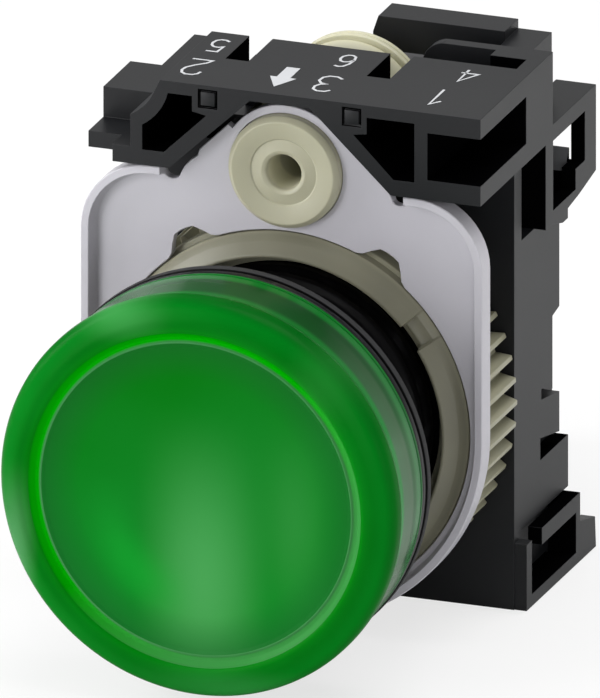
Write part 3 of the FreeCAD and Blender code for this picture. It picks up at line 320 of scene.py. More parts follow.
def tinted_rim():
    """Thick polished tinted plastic of the rounded rim, its tone changing across the rim by
    radius, with random clouds and four painted highlights.
    """
    material, tree, shader, coords = started("lens_rim_green")
    across, _, height = axes(tree, coords)
    # tone changes across the rim by radius
    depth = ramp(tree, span(tree, radius_of(tree, across, height), 0.0122, 0.0148), [
        (0.0, (0.0, 0.17, 0.002)),
        (0.35, (0.0, 0.118, 0.004)),
        (0.75, (0.0, 0.14, 0.007)),
        (1.0, (0.001, 0.105, 0.007))])
    cloud = grain(tree, coords, 120.0, 2.0)
    base = blend_colours(tree, span(tree, cloud, 0.35, 0.7, 0.0, 0.35), depth,
                         (0.001, 0.185, 0.01))
    # painted highlights: upper left, lower left, upper right and bottom
    for x, z, wide, tall, share, colour in (
            (-0.0064, 0.0134, 0.0052, 0.0026, 0.6, (0.055, 0.3, 0.075)),
            (-0.0136, -0.006, 0.0022, 0.008, 0.7, (0.09, 0.26, 0.11)),
            (0.0098, 0.0102, 0.0035, 0.0045, 0.4, (0.02, 0.2, 0.03)),
            (0.0034, -0.0138, 0.009, 0.0022, 0.5, (0.03, 0.24, 0.05))):
        painted_highlight = soft_spot(tree, across, height, x, z, wide, tall)
        base = blend_colours(tree, times(tree, painted_highlight, share), base, colour)
    coat(tree, shader, base, span(tree, cloud, 0.3, 0.7, 0.26, 0.34), 0.02)
    return material


def tinted_groove():
    """Step between face and rim, painted with bright highlight lines by radius and a paler painted
    haze towards the lower right.
    """
    material, tree, shader, coords = started("lens_groove_green")
    across, _, height = axes(tree, coords)
    # painted highlight lines across the step, by radius
    lines = ramp(tree, span(tree, radius_of(tree, across, height), 0.0115, 0.0125), [
        (0.0, (0.02, 0.13, 0.03)),
        (0.15, (0.05, 0.22, 0.07)),
        (0.35, (0.0, 0.3, 0.0)),
        (0.75, (0.0, 0.28, 0.0)),
        (1.0, (0.0, 0.17, 0.002))])
    # paler painted haze towards the lower right
    painted_haze_slant = math_node(tree, "SUBTRACT", across, height)
    base = blend_colours(tree, span(tree, painted_haze_slant, -0.002, 0.012, 0.0, 0.75), lines,
                         (0.05, 0.22, 0.065))
    coat(tree, shader, base, 0.18, 0.01)
    return material


def tinted_skirt():
    """Thin see-through side of the cap, drawn opaque: painted bands of what shows through it, with
    painted shade on top.
    """
    material, tree, shader, coords = started("lens_skirt_green")
    across, along, height = axes(tree, coords)
    place = span(tree, along, SKIRT_FRONT * MM, LENS_BACK * MM)
    # painted bands of what shows through the thin side
    painted_see_through_bands = ramp(tree, place, [
        (0.0, (0.0, 0.11, 0.006)),
        (0.14, (0.0, 0.14, 0.008)),
        (0.25, (0.028, 0.25, 0.055)),
        (0.36, (0.085, 0.17, 0.095)),
        (0.6, (0.085, 0.155, 0.09)),
        (0.7, (0.03, 0.11, 0.04)),
        (0.83, (0.045, 0.19, 0.065)),
        (0.94, (0.03, 0.13, 0.045)),
        (1.0, (0.0, 0.05, 0.003))])
    # the same bands darker, as painted shade on top
    painted_shade_top = ramp(tree, place, [
        (0.0, (0.0, 0.11, 0.006)),
        (0.16, (0.0, 0.13, 0.008)),
        (0.24, (0.012, 0.16, 0.024)),
        (0.36, (0.006, 0.06, 0.011)),
        (0.74, (0.006, 0.05, 0.01)),
        (0.83, (0.002, 0.15, 0.014)),
        (0.96, (0.002, 0.15, 0.014)),
        (1.0, (0.0, 0.04, 0.003))])
    # painted shade on the top, stronger from the middle rightwards
    share = times(tree, span(tree, height, 0.004, 0.012, 0.0, 0.95),
                  span(tree, across, -0.006, 0.0, 0.3, 1.0))
    streak = grain(tree, stretched(tree, coords, (1.0, 0.05, 1.0)), 150.0, 2.0)
    base = blend_colours(tree, span(tree, streak, 0.4, 0.7, 0.0, 0.25),
                         blend_colours(tree, share, painted_see_through_bands, painted_shade_top), (0.003, 0.085, 0.009))
    coat(tree, shader, base, 0.18, 0.05)
    return material


def beige_plastic(name, *stops):
    """Beige moulding with painted light and shade along its axis: (y in mm, brightness) stops."""
    material, tree, shader, coords = started(name)
    _, along, _ = axes(tree, coords)
    first, last = stops[0][0], stops[-1][0]
    painted_light_tone = ramp(tree, span(tree, along, first * MM, last * MM), [
        ((y - first) / (last - first), (0.40 * share, 0.39 * share, 0.285 * share))
        for y, share in stops])
    flow = grain(tree, coords, 110.0, 2.0)
    base = blend_colours(tree, span(tree, flow, 0.3, 0.7, 0.0, 0.35), painted_light_tone, (0.3, 0.29, 0.2))
    coat(tree, shader, base, span(tree, flow, 0.3, 0.7, 0.33, 0.45), 0.4)
    soften_inside(shader, 0.12, (1.0, 0.85, 0.5))
    bump(tree, shader, grain(tree, coords, 4800.0, 2.0), 0.25, 0.000008)
    return material


def clear_glass(name, colour):
    """Thin clear glass."""
    material, tree, shader, coords = started(name)
    cloud = grain(tree, coords, 200.0)
    base = blend_colours(tree, span(tree, cloud, 0.3, 0.7), colour,
                         tuple(0.95 * c for c in colour))
    coat(tree, shader, base, span(tree, cloud, 0.3, 0.7, 0.02, 0.05))
    shader.inputs["Transmission Weight"].default_value = 0.95
    shader.inputs["IOR"].default_value = 1.45
    return material


FINISH = {
    "black": moulded("holder_black", (0.0075, 0.008, 0.0094), (0.0072, 0.0077, 0.009), 0.42, 0.012,
                     5200.0, 0.000003, 0.25),
    # painted shade: a nearly black, unlit finish for faces deep in pockets
    "deep": moulded("recess_painted_shade", (0.0012, 0.0012, 0.0014), (0.001, 0.001, 0.0012), 0.8,
                    specular=0.0),
    # painted sheen: a lighter grey for the sloped block in the loop
    "slope": moulded("slope_painted_sheen", (0.14, 0.142, 0.148), (0.13, 0.132, 0.138), 0.5, 0.02,
                     5200.0, 0.000003, 0.2),
    "collar": moulded("bezel_black", (0.005, 0.005, 0.006), (0.004, 0.004, 0.005), 0.3, 0.04,
                      6000.0, 0.000006, 0.22),
    # painted shade: a darker, duller black for the neck, the collar's rear part and the seal's
    # front step
    "neck": moulded("neck_painted_shade", (0.0016, 0.0015, 0.0018), (0.0012, 0.0011, 0.0014), 0.45, 0.05,
                    6000.0, 0.000006, 0.08),
    "block": moulded("block_black", (0.03, 0.03, 0.033), (0.022, 0.022, 0.024), 0.5),
    "rubber": rubber("seal_black"),
    "white": moulded("funnel_white", (0.82, 0.83, 0.8), (0.76, 0.77, 0.74), 0.32, 0.05),
    "plate": moulded("plate_grey", (0.50, 0.49, 0.53), (0.46, 0.45, 0.49), 0.36, 0.05,
                     4200.0, 0.000006, 0.5),
    # ring: painted shade, darker towards the front cone under the lens
    "ring": beige_plastic("ring_beige", (8.8, 0.36), (9.9, 0.4), (10.2, 0.57), (11.6, 0.66),
                          (12.4, 0.84)),
    # keyway: painted shade in the keyway notch
    "keyway": beige_plastic("keyway_beige", (9.2, 0.3), (10.0, 0.42), (11.0, 0.5)),
    # pinion: painted light, lighter on the disc's side and on the driven head
    "beige": beige_plastic("pinion_beige", (9.0, 1.0), (9.5, 1.0), (10.0, 1.5), (12.0, 1.5),
                           (12.5, 1.0), (22.0, 1.0), (23.9, 1.5), (25.0, 1.6)),
    "face": tinted_face(),
    "rim": tinted_rim(),
    "groove": tinted_groove(),
    "skirt": tinted_skirt(),
    "frosted": moulded("disc_frosted", (0.78, 0.86, 0.78), (0.7332, 0.8084, 0.7332), 0.55, 0.05,
                       3000.0, specular=0.4, soft=0.25),
    "glass": clear_glass("bulb_glass", (0.93, 0.96, 0.96)),
    "wire": metal("filament_wire", (0.3, 0.29, 0.28), 0.35),
    "nickel": metal("cap_nickel", (0.62, 0.6, 0.56), 0.24, (1.0, 0.06, 1.0), 0.15),
    "brass": metal("strip_brass", (0.68, 0.5, 0.22), 0.28, (1.0, 0.08, 1.0), 0.2,
                   (0.42, 0.28, 0.11)),
    "zinc": metal("screw_zinc", (0.6, 0.62, 0.64), 0.3, (1.0, 1.0, 0.08), 0.2,
                  (0.45, 0.46, 0.42)),
    "solder": metal("contact_tin", (0.55, 0.55, 0.57), 0.4),
    "base": moulded("base_dark_glass", (0.03, 0.03, 0.05), (0.02, 0.02, 0.035), 0.15, 0.03),
    "print": moulded("print_white", (0.6, 0.61, 0.63), (0.54, 0.55, 0.57), 0.6, 0.05),
}


# Mesh helpers

def add_object(name, data):
    """A new object in the scene."""
    obj = bpy.data.objects.new(name, data)
    bpy.context.scene.collection.objects.link(obj)
    return obj


def smooth_mesh(mesh, angle):
    """Smooth shading with sharp edges above an angle in degrees."""
    mesh.shade_smooth()
    mesh.set_sharp_from_angle(angle=math.radians(angle))


def object_from(bm, name, *finishes, smooth=35.0):
    """A finished object from a bmesh in metres, with smooth shading between soft edges."""
    mesh = bpy.data.meshes.new(name)
    bm.to_mesh(mesh)
    bm.free()
    for finish in finishes:
        mesh.materials.append(FINISH[finish])
    if smooth:
        smooth_mesh(mesh, smooth)
    return add_object(name, mesh)


def apply_modifiers(obj):
    """Turn what an object's modifiers make of it into its plain mesh."""
    depsgraph = bpy.context.evaluated_depsgraph_get()
    mesh = bpy.data.meshes.new_from_object(obj.evaluated_get(depsgraph))
    obj.modifiers.clear()
    obj.data = mesh


def bridge(bm, first, second, closed=True):
    """Faces between two rows of points."""
    count = len(first)
    return [bm.faces.new((first[i], first[(i + 1) % count], second[(i + 1) % count], second[i]))
            for i in range(count if closed else count - 1)]


def rounded(points, steps=3):
    """Points (a, b) or (a, b, radius): each corner with a radius becomes an arc."""
    result = []
    count = len(points)
    for i, point in enumerate(points):
        here = Vector(point[:2])
        if len(point) < 3 or point[2] == 0:
            result.append(here)
            continue
        before = Vector(points[i - 1][:2]) - here
        after = Vector(points[(i + 1) % count][:2]) - here
        angle = before.angle(after)
        reach = min(point[2] / math.tan(angle / 2.0), 0.49 * before.length, 0.49 * after.length)
        radius = reach * math.tan(angle / 2.0)
        bisector = (before.normalized() + after.normalized()).normalized()
        centre = here + bisector * (radius / math.sin(angle / 2.0))
        start = here + before.normalized() * reach - centre
        end = here + after.normalized() * reach - centre
        sweep = start.angle_signed(end)
        for step in range(steps + 1):
            turned = start.copy()
            turned.rotate(Matrix.Rotation(-sweep * step / steps, 2))
            result.append(centre + turned)
    return result


def lathe(profile, segments=96, height=0.0, shift=None, sink=None):
    """A closed profile of (radius, y) in mm turned about an axis along Y.

    shift changes the radius and sink the place along the axis, from the point's index,
    its angle and its place."""
    bm = bmesh.new()
    rings = []
    for index, (radius, along) in enumerate(profile):
        if radius < 0.0001:
            rings.append([bm.verts.new((0.0, along * MM, height * MM))])
            continue
        ring = []
        for i in range(segments):
            angle = math.tau * i / segments
            here = radius + (shift(index, angle, along) if shift else 0.0)
            there = along + (sink(index, angle, along) if sink else 0.0)
            ring.append(bm.verts.new((here * math.cos(angle) * MM, there * MM,
                                      (height + here * math.sin(angle)) * MM)))
        rings.append(ring)
    for first, second in zip(rings, rings[1:] + rings[:1]):
        if len(first) == len(second) == segments:
            bridge(bm, first, second)
        elif len(first) == segments:
            for i in range(segments):
                bm.faces.new((first[i], first[(i + 1) % segments], second[0]))
        elif len(second) == segments:
            for i in range(segments):
                bm.faces.new((first[0], second[(i + 1) % segments], second[i]))
    bmesh.ops.recalc_face_normals(bm, faces=bm.faces)
    return bm


def prism(bm, outline, front, back):
    """Add a closed prism with an outline in (x, z), all in mm."""
    first = [bm.verts.new((p[0] * MM, front * MM, p[1] * MM)) for p in outline]
    second = [bm.verts.new((p[0] * MM, back * MM, p[1] * MM)) for p in outline]
    faces = [bm.faces.new(first), bm.faces.new(second)] + bridge(bm, first, second)
    bmesh.ops.recalc_face_normals(bm, faces=faces)


def soften_edges(bm, width):
    """Round every edge sharper than 30 degrees."""
    sharp = [edge for edge in bm.edges
             if len(edge.link_faces) == 2 and edge.calc_face_angle(0.0) > math.radians(30.0)]
    bmesh.ops.bevel(bm, geom=sharp, offset=width * MM, offset_type="OFFSET", segments=2,
                    profile=0.5, affect="EDGES", clamp_overlap=True)


def softened_copy(node, name, finish, width):
    """A node's shape with its edges rounded a little, standing for the node."""
    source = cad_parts[node]
    bm = bmesh.new()
    bm.from_mesh(source.data)
    bm.transform(source.matrix_world)
    bmesh.ops.remove_doubles(bm, verts=bm.verts, dist=0.000002)
    bmesh.ops.dissolve_limit(bm, angle_limit=math.radians(0.6), verts=bm.verts, edges=bm.edges)
    obj = object_from(bm, name, finish, smooth=0)
    bevel = obj.modifiers.new("edges", "BEVEL")
    bevel.width = width * MM
    bevel.segments = 2
    bevel.limit_method = "ANGLE"
    bevel.angle_limit = math.radians(35.0)
    bevel.use_clamp_overlap = True
    apply_modifiers(obj)
    smooth_mesh(obj.data, 50.0)
    flatten_shading(obj, 100)
    obj.data.name = name
    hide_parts(node)
    return obj


def flatten_shading(obj, weight=50):
    """Weigh the shading by face size, so that flat faces look flat beside small roundings."""
    weigh = obj.modifiers.new("weigh", "WEIGHTED_NORMAL")
    weigh.mode = "FACE_AREA"
    weigh.keep_sharp = True
    weigh.weight = weight
    apply_modifiers(obj)


def paint_recess_shade(obj):
    """Give the holder's faces that sit deep in pockets a nearly black, unlit finish as painted
    shade.

    A face is deep when more than a share of its rays meet the holder within a reach in mm."""
    reach, share, count = 7.0, 0.52, 40
    mesh = obj.data
    tree = BVHTree.FromPolygons([v.co for v in mesh.vertices],
                                [tuple(p.vertices) for p in mesh.polygons])
    rays = []
    for i in range(count):
        height = (i + 0.5) / count
        turned = i * GOLDEN_TURN
        flat = math.sqrt(1.0 - height * height)
        rays.append(Vector((flat * math.cos(turned), flat * math.sin(turned), height)))
    weight = sum(ray.z for ray in rays)
    mesh.materials.append(FINISH["deep"])
    mesh.materials.append(FINISH["slope"])
    for face in mesh.polygons:
        place = face.center / MM
        upward = face.normal.z
        # steps of the side walls keep the plain black, and the sloped block in the loop gets a
        # lighter grey as painted sheen
        step = abs(place.x) > 13.0 and -2.2 < place.z < 12.2 and upward > 0.7 and place.y < 25.5
        slope = place.y > 28.8 and 13.3 < place.z < 14.9 and 0.4 < upward < 0.7
        if step or slope:
            face.material_index = 0 if step else 2
            continue
        turn = face.normal.to_track_quat("Z", "Y")
        start = face.center + face.normal * 0.00004
        hits = sum(ray.z for ray in rays
                   if tree.ray_cast(start, turn @ ray, reach * MM)[0] is not None)
        # some front faces at the back of the sides, faces in a notch by the bar and some floors at
        # the back also get the painted shade
        behind = place.y > 29.5 and abs(place.x) > 13.6 and face.normal.y < -0.7
        notch = (-8.0 < place.x < -1.5 and 18.0 < place.z < 23.8 and place.y < 16.0
                 and abs(face.normal.y) < 0.5)
        floor = (place.y > 25.5 and abs(place.x) > 12.0 and 10.5 < place.z < 12.7
                 and upward > 0.3)
        if hits > share * weight or behind or notch or floor:
            face.material_index = 1


def carve(obj, outline, front, back):
    """Cut a prism with an outline in (x, z) out of an object."""
    bm = bmesh.new()
    prism(bm, outline, front, back)
    cutter = object_from(bm, "cutter", "beige", smooth=0)
    cut = obj.modifiers.new("cut", "BOOLEAN")
    cut.operation = "DIFFERENCE"
    cut.solver = "EXACT"
    cut.object = cutter
    apply_modifiers(obj)
    bpy.data.objects.remove(cutter)
    obj.data.set_sharp_from_angle(angle=math.radians(40.0))


def repeat_around(name, template, count, finish, height=0.0, phase=0.0):
    """Copies of one piece around an axis along Y, made by a node tree, as one plain mesh."""
    tree = bpy.data.node_groups.new(name + "_tree", "GeometryNodeTree")
    sockets = [tree.interface.new_socket(label, in_out="INPUT", socket_type="NodeSocket" + kind)
               for label, kind in (("Geometry", "Geometry"), ("Count", "Int"),
                                   ("Phase", "Float"), ("Height", "Float"))]
    tree.interface.new_socket("Geometry", in_out="OUTPUT", socket_type="NodeSocketGeometry")
    enter = tree.nodes.new("NodeGroupInput")
    leave = tree.nodes.new("NodeGroupOutput")
    line = add_node(tree, "GeometryNodeMeshLine", mode="OFFSET")
    line.inputs["Offset"].default_value = (0.0, 0.0, 0.0)
    place = tree.nodes.new("GeometryNodeInstanceOnPoints")
    index = tree.nodes.new("GeometryNodeInputIndex")
    rotation = tree.nodes.new("ShaderNodeCombineXYZ")
    lift = tree.nodes.new("ShaderNodeCombineXYZ")
    realize = tree.nodes.new("GeometryNodeRealizeInstances")
    paint = tree.nodes.new("GeometryNodeSetMaterial")
    paint.inputs["Material"].default_value = FINISH[finish]
    move = tree.nodes.new("GeometryNodeTransform")
    step = math_node(tree, "DIVIDE", math.tau, enter.outputs["Count"])
    turned = math_node(tree, "ADD", times(tree, index.outputs[0], step), enter.outputs["Phase"])
    for output, target in (
            (enter.outputs["Count"], line.inputs["Count"]),
            (turned, rotation.inputs["Y"]),
            (line.outputs["Mesh"], place.inputs["Points"]),
            (enter.outputs["Geometry"], place.inputs["Instance"]),
            (rotation.outputs[0], place.inputs["Rotation"]),
            (place.outputs["Instances"], realize.inputs["Geometry"]),
            (enter.outputs["Height"], lift.inputs["Z"]),
            (lift.outputs[0], move.inputs["Translation"]),
            (realize.outputs["Geometry"], move.inputs["Geometry"]),
            (move.outputs["Geometry"], paint.inputs["Geometry"]),
            (paint.outputs["Geometry"], leave.inputs[0])):
        tree.links.new(output, target)
    modifier = template.modifiers.new("repeat", "NODES")
    modifier.node_group = tree
    for socket, value in zip(sockets[1:], (count, phase, height * MM)):
        modifier[socket.identifier] = value
    apply_modifiers(template)
    template.data.name = name
    template.name = name
    return template


def join_meshes(name, *objects):
    """One object from several, keeping their finishes."""
    finishes = []
    bm = bmesh.new()
    for obj in objects:
        start = len(bm.faces)
        bm.from_mesh(obj.data)
        bm.faces.ensure_lookup_table()
        table = []
        for material in obj.data.materials:
            if material not in finishes:
                finishes.append(material)
            table.append(finishes.index(material))
        for face in bm.faces[start:]:
            face.material_index = table[min(face.material_index, len(table) - 1)]
    joined = object_from(bm, name)
    for material in finishes:
        joined.data.materials.append(material)
    for obj in objects:
        bpy.data.objects.remove(obj)
    return joined


# Head: lens, collar with threaded neck, seals and funnel

def make_lens():
    """Green cap with its rim, groove, dished face, skirt and three lugs."""
    profile = rounded([
        (0.0, -7.98),
        (3.0, -8.0),
        (6.0, -8.08),
        (9.0, -8.22),
        (11.3, -8.4, 0.5),
        (11.62, -8.5, 0.12),
        (11.78, -8.36, 0.14),
        (12.05, -8.42, 0.2),
        (12.55, -8.97, 0.45),
        (13.3, -9.0, 1.2),
        (14.8, -8.35, 1.1),
        (14.8, -6.9, 0.7),
        (14.47, -6.35, 0.5),
        (14.45, -5.9),
        (14.45, -4.0),
        (14.43, -2.02, 0.05),
        (14.33, -1.96, 0.05),
        (14.33, -1.86, 0.05),
        (14.43, -1.8, 0.05),
        (14.43, LENS_BACK, 0.08),
        (13.85, LENS_BACK, 0.08),
        (13.85, -6.1, 0.4),
        (12.2, -7.05, 0.3),
        (0.0, -7.05)], 4)
    bm = lathe(profile, 192)
    for face in bm.faces:
        centre = face.calc_center_median() / MM
        radius = math.hypot(centre.x, centre.z)
        if radius < 11.5 and centre.y < -7.5:
            face.material_index = 0
        elif radius < 12.45 and centre.y < -7.5:
            face.material_index = 1
        elif centre.y < -6.6:
            face.material_index = 2
        else:
            face.material_index = 3
    cap = object_from(bm, "lens_shell", "face", "groove", "rim", "skirt")
    lug = bmesh.new()
    prism(lug, [(-1.3, 12.42), (1.3, 12.42), (1.3, 13.95), (-1.3, 13.95)], -3.5, -2.9)
    soften_edges(lug, 0.12)
    # the lugs stand 30 degrees past the entry slots, as in the solids
    lugs = repeat_around("lens_lugs", object_from(lug, "lens_lug", "skirt"), 3, "skirt",
                         phase=math.radians(30.0))
    lens = join_meshes("lens_cap", cap, lugs)
    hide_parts("lens")
    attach(lens, "lens_cap")


def make_bezel():
    """Collar, spigot and neck; the neck carries a two-start thread."""
    lead, pitch, depth = 4.0, 2.0, 0.32
    slope = 0.18
    thread_from, thread_to = 1.0, 19.4
    neck = []
    along = thread_from
    while along < thread_to:
        neck.append((11.0, along))
        along += 0.2
    neck.append((11.0, thread_to))
    head = rounded([
        (11.6, -5.2, 0.1),
        (12.9, -5.2, 0.15),
        (12.9, -3.6, 0.05),
        (12.3, -3.6, 0.05),
        (12.3, -2.8, 0.05),
        (12.9, -2.8, 0.05),
        (12.9, COLLAR_FRONT, 0.1),
        (14.4, COLLAR_FRONT, 0.08),
        (14.4, -0.9, 0.04),
        (14.1, COLLAR_BACK, 0.03),
        (11.0, COLLAR_BACK, 0.2),
        (11.0, 0.6)])
    tail = rounded([
        (11.0, 20.0),
        (10.6, NECK_END, 0.1),
        (9.6, NECK_END, 0.2),
        (9.6, -0.6, 0.3),
        (11.6, -3.4, 0.3)])
    profile = head + neck + tail
    first, last = len(head), len(head) + len(neck) - 1

    def thread(index, angle, place):
        if index <= first or index >= last:
            return 0.0
        phase = ((place - lead * angle / math.tau) / pitch) % 1.0
        share = max(0.0, min(phase / slope, 1.0, 1.0 - (phase - 0.5) / slope))
        ends = min(place - thread_from, thread_to - place, 1.0)
        return -depth * share * ends

    bm = lathe(profile, 160, shift=thread)
    # the collar's rear part and the neck get the darker neck black as painted shade
    for face in bm.faces:
        centre = face.calc_center_median() / MM
        if centre.y > COLLAR_BACK - 0.25:
            face.material_index = 1
    bezel = object_from(bm, "bezel_body", "collar", "neck")
    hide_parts("bezel")
    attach(bezel, "head")


def make_small_lathes():
    """Panel seal, lens seal, frosted disc and funnel."""
    seal = object_from(lathe(rounded([
        (11.15, 0.0, 0.1),
        (11.15, COLLAR_BACK, 0.05),
        (14.1, COLLAR_BACK, 0.02),
        (14.1, -0.7, 0.02),
        (14.5, -0.66, 0.06),
        (14.5, 0.0, 0.15)]), 128), "flat_seal", "rubber", "neck")
    # the seal's front step gets the neck black as painted shade in the line between collar and
    # seal
    for face in seal.data.polygons:
        if face.center.y < -0.68 * MM:
            face.material_index = 1
    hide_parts("panel_seal")
    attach(seal, "head")
    ring = [(13.375 + 0.4 * math.cos(a * math.pi / 8.0), -2.43 + 0.4 * math.sin(a * math.pi / 8.0))
            for a in range(16)]
    cord = object_from(lathe(ring), "lens_seal_ring", "rubber")
    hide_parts("lens_seal")
    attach(cord, "head")
    disc = object_from(lathe(rounded([
        (0.0, -7.0), (11.4, -7.0, 0.15), (11.4, -6.3, 0.15), (0.0, -6.3)])),
        "frosted_disc", "frosted")
    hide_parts("diffuser_disc")
    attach(disc, "lens_cap")
    funnel = object_from(lathe(rounded([
        (12.6, -5.85, 0.15), (12.6, -5.25, 0.1), (11.4, -5.25, 0.05), (11.4, -4.0, 0.3),
        (9.4, -1.2, 0.3), (9.4, 6.0, 0.15), (8.7, 6.0, 0.15), (8.7, -1.2, 0.3),
        (10.7, -4.0, 0.3), (10.7, -5.85, 0.3)])), "light_funnel", "white")
    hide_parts("reflector")
    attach(funnel, "head")


# Holder unit

def arc(x, z, radius, start, sweep, steps):
    """Points along an arc in (x, z), angles in degrees."""
    angles = [math.radians(start + sweep * i / steps) for i in range(steps + 1)]
    return [Vector((x + radius * math.cos(a), z + radius * math.sin(a))) for a in angles]


def tray_outline():
    """The tray's rim in (x, z), counterclockwise from the front, open beside the tongue."""
    side, height = HALF_WIDTH - PLATE_CORNER, PLATE_TOP - PLATE_CORNER
    return ([Vector((-RIM_END, PLATE_TOP))]
            + arc(-side, height, PLATE_CORNER, 90.0, 90.0, 12)
            + arc(0.0, 0.0, HALF_WIDTH, 180.0, 180.0, 72)
            + arc(side, height, PLATE_CORNER, 0.0, 90.0, 12)
            + [Vector((RIM_END, PLATE_TOP))])


def tongue_outline():
    """Relief notches, flanks and rounded end of the tongue, from the right rim to the left."""
    right = [(RIM_END, 17.1)]
    for i in range(9):
        angle = math.radians(-180.0 * i / 8)
        right.append((8.5 + 0.6 * math.cos(angle), 17.05 + 0.46 * math.sin(angle)))
    right += [(7.62, 17.6), (7.2, 18.1), (6.66, 18.5), (6.5, 19.02), (4.376, 21.14),
              (4.026, 20.9)]
    right += [(TONGUE_TIP * math.sin(math.radians(a)),
               PINION_HEIGHT + TONGUE_TIP * math.cos(math.radians(a))) for a in range(51, 0, -6)]
    return ([Vector(p) for p in right] + [Vector((0.0, PINION_HEIGHT + TONGUE_TIP))]
            + [Vector((-x, z)) for x, z in right[::-1]])


def inset(outline, width, closed=True):
    """A counterclockwise outline moved inwards by a width."""
    result = []
    count = len(outline)
    for i, here in enumerate(outline):
        if closed:
            way = outline[(i + 1) % count] - outline[i - 1]
        else:
            way = outline[min(i + 1, count - 1)] - outline[max(i - 1, 0)]
        inward = Vector((-way.y, way.x)).normalized()
        result.append(here + inward * width)
    return result


def ring_hole():
    """The large hole: a circle with two smooth lobes."""
    points = []
    for angle in range(0, 360, 2):
        radius = LARGE_HOLE
        for lobe in LOBE_ANGLES:
            off = abs((angle - lobe + 180.0) % 360.0 - 180.0)
            share = max(0.0, min(1.0, (LOBE_HALF_ANGLE - off) / LOBE_EASE_ANGLE))
            radius += LOBE_RISE * share * share * (3.0 - 2.0 * share)
        points.append(Vector((radius * math.cos(math.radians(angle)),
                              radius * math.sin(math.radians(angle)))))
    return points


def make_plate():
    """Light grey pressed tray with a bent rim, relief notches and a plain tongue."""
    outer = tray_outline()
    face, rear = 1.05, 1.75
    # one cross section of the rim, swept along the outline
    section = [(0.3, rear), (0.0, rear - 0.1), (0.0, 0.07), (0.06, 0.0), (0.55, 0.0), (0.6, 0.05),
               (0.62, 0.45), (0.84, 0.98), (RIM_SLOPE_END, face)]
    bm = bmesh.new()

    def ring(points, along):
        return [bm.verts.new((p.x * MM, (PANEL_GAP + along) * MM, p.y * MM)) for p in points]

    def fill(loops):
        edges = []
        for loop in loops:
            for pair in zip(loop, loop[1:] + loop[:1]):
                edges.append(bm.edges.get(pair) or bm.edges.new(pair))
        bmesh.ops.triangle_fill(bm, use_beauty=True, use_dissolve=False, edges=edges)

    rims = [ring(inset(outer, width, False), along) for width, along in section]
    for first, second in zip(rims, rims[1:]):
        bridge(bm, first, second, False)
    # the rim's two cut ends
    for end, x in ((0, -RIM_END), (-1, RIM_END)):
        corner = bm.verts.new((x * MM, (PANEL_GAP + rear) * MM, (PLATE_TOP - RIM_SLOPE_END) * MM))
        bm.faces.new([r[end] for r in rims] + [corner])
    tongue = tongue_outline()
    front_tongue = ring(inset(tongue, 0.05), face)
    middle_tongue = ring(tongue, face + 0.06)
    back_tongue = ring(tongue, rear)
    bridge(bm, front_tongue, middle_tongue, False)
    bridge(bm, middle_tongue, back_tongue, False)
    hole = ring_hole()
    small = arc(0.0, PINION_HEIGHT, JOURNAL_HOLE, 0.0, 360.0, 64)[:-1]
    grow = [p * (1.0 + 0.07 / p.length) for p in hole]
    small_grow = arc(0.0, PINION_HEIGHT, JOURNAL_HOLE + 0.03, 0.0, 360.0, 64)[:-1]
    front_loops = [ring(grow, face), ring(small_grow, face)]
    back_loops = [ring(hole, rear), ring(small, rear)]
    for first, second, points in zip(front_loops, back_loops, (hole, small)):
        middle = ring(points, face + 0.1)
        bridge(bm, first, middle)
        bridge(bm, middle, second)
    fill([rims[-1] + front_tongue] + front_loops)
    fill([rims[0] + back_tongue] + back_loops)
    bmesh.ops.recalc_face_normals(bm, faces=bm.faces)
    plate = object_from(bm, "plate_tray", "plate", smooth=22.0)
    flatten_shading(plate)
    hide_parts("pressure_plate")
    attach(plate, "holder_unit")


# Strokes of each number in a box one wide and one high, seen the right way up
STROKES = {
    "1": [[(0.25, 0.74), (0.62, 1.0), (0.62, 0.0)]],
    "2": [[(0.06, 0.76), (0.12, 0.9), (0.3, 0.99), (0.62, 1.0), (0.84, 0.92), (0.94, 0.76),
           (0.88, 0.58), (0.6, 0.38), (0.2, 0.18), (0.04, 0.0), (0.98, 0.0)]],
    "3": [[(0.08, 0.88), (0.28, 0.99), (0.62, 1.0), (0.86, 0.9), (0.9, 0.72), (0.74, 0.56),
           (0.42, 0.53)],
          [(0.42, 0.53), (0.78, 0.49), (0.97, 0.34), (0.93, 0.13), (0.7, 0.01), (0.34, 0.0),
           (0.04, 0.11)]],
    "4": [[(0.74, 0.0), (0.74, 1.0), (0.02, 0.28), (1.0, 0.28)]],
    "5": [[(0.9, 1.0), (0.2, 1.0), (0.12, 0.54), (0.36, 0.63), (0.66, 0.62), (0.9, 0.49),
           (0.97, 0.3), (0.88, 0.11), (0.64, 0.0), (0.34, 0.0), (0.06, 0.1)]],
    "6": [[(0.88, 0.94), (0.62, 1.0), (0.36, 0.95), (0.14, 0.72), (0.06, 0.36), (0.16, 0.1),
           (0.4, 0.0), (0.68, 0.02), (0.9, 0.16), (0.94, 0.34), (0.82, 0.52), (0.56, 0.59),
           (0.28, 0.53), (0.08, 0.36)]],
}


def ribbon(bm, line, width, height):
    """A flat stroke along a line of (x, y) in metres, with mitred corners."""
    sides = []
    for i, here in enumerate(line):
        before = (here - line[i - 1]).normalized() if i else None
        after = (line[i + 1] - here).normalized() if i + 1 < len(line) else None
        way = ((before or after) + (after or before)).normalized()
        across = Vector((-way.y, way.x))
        bend = across.dot(Vector((-(after or before).y, (after or before).x)))
        reach = width / 2.0 / max(bend, 0.5)
        sides.append((here + across * reach, here - across * reach))
    low = height - PRINT_THICKNESS * MM
    rings = [[bm.verts.new((p.x, p.y, z)) for p, z in (
        (left, height), (right, height), (right, low), (left, low))] for left, right in sides]
    faces = [bm.faces.new(rings[0]), bm.faces.new(rings[-1])]
    for first, second in zip(rings, rings[1:]):
        faces += bridge(bm, first, second)
    bmesh.ops.recalc_face_normals(bm, faces=faces)


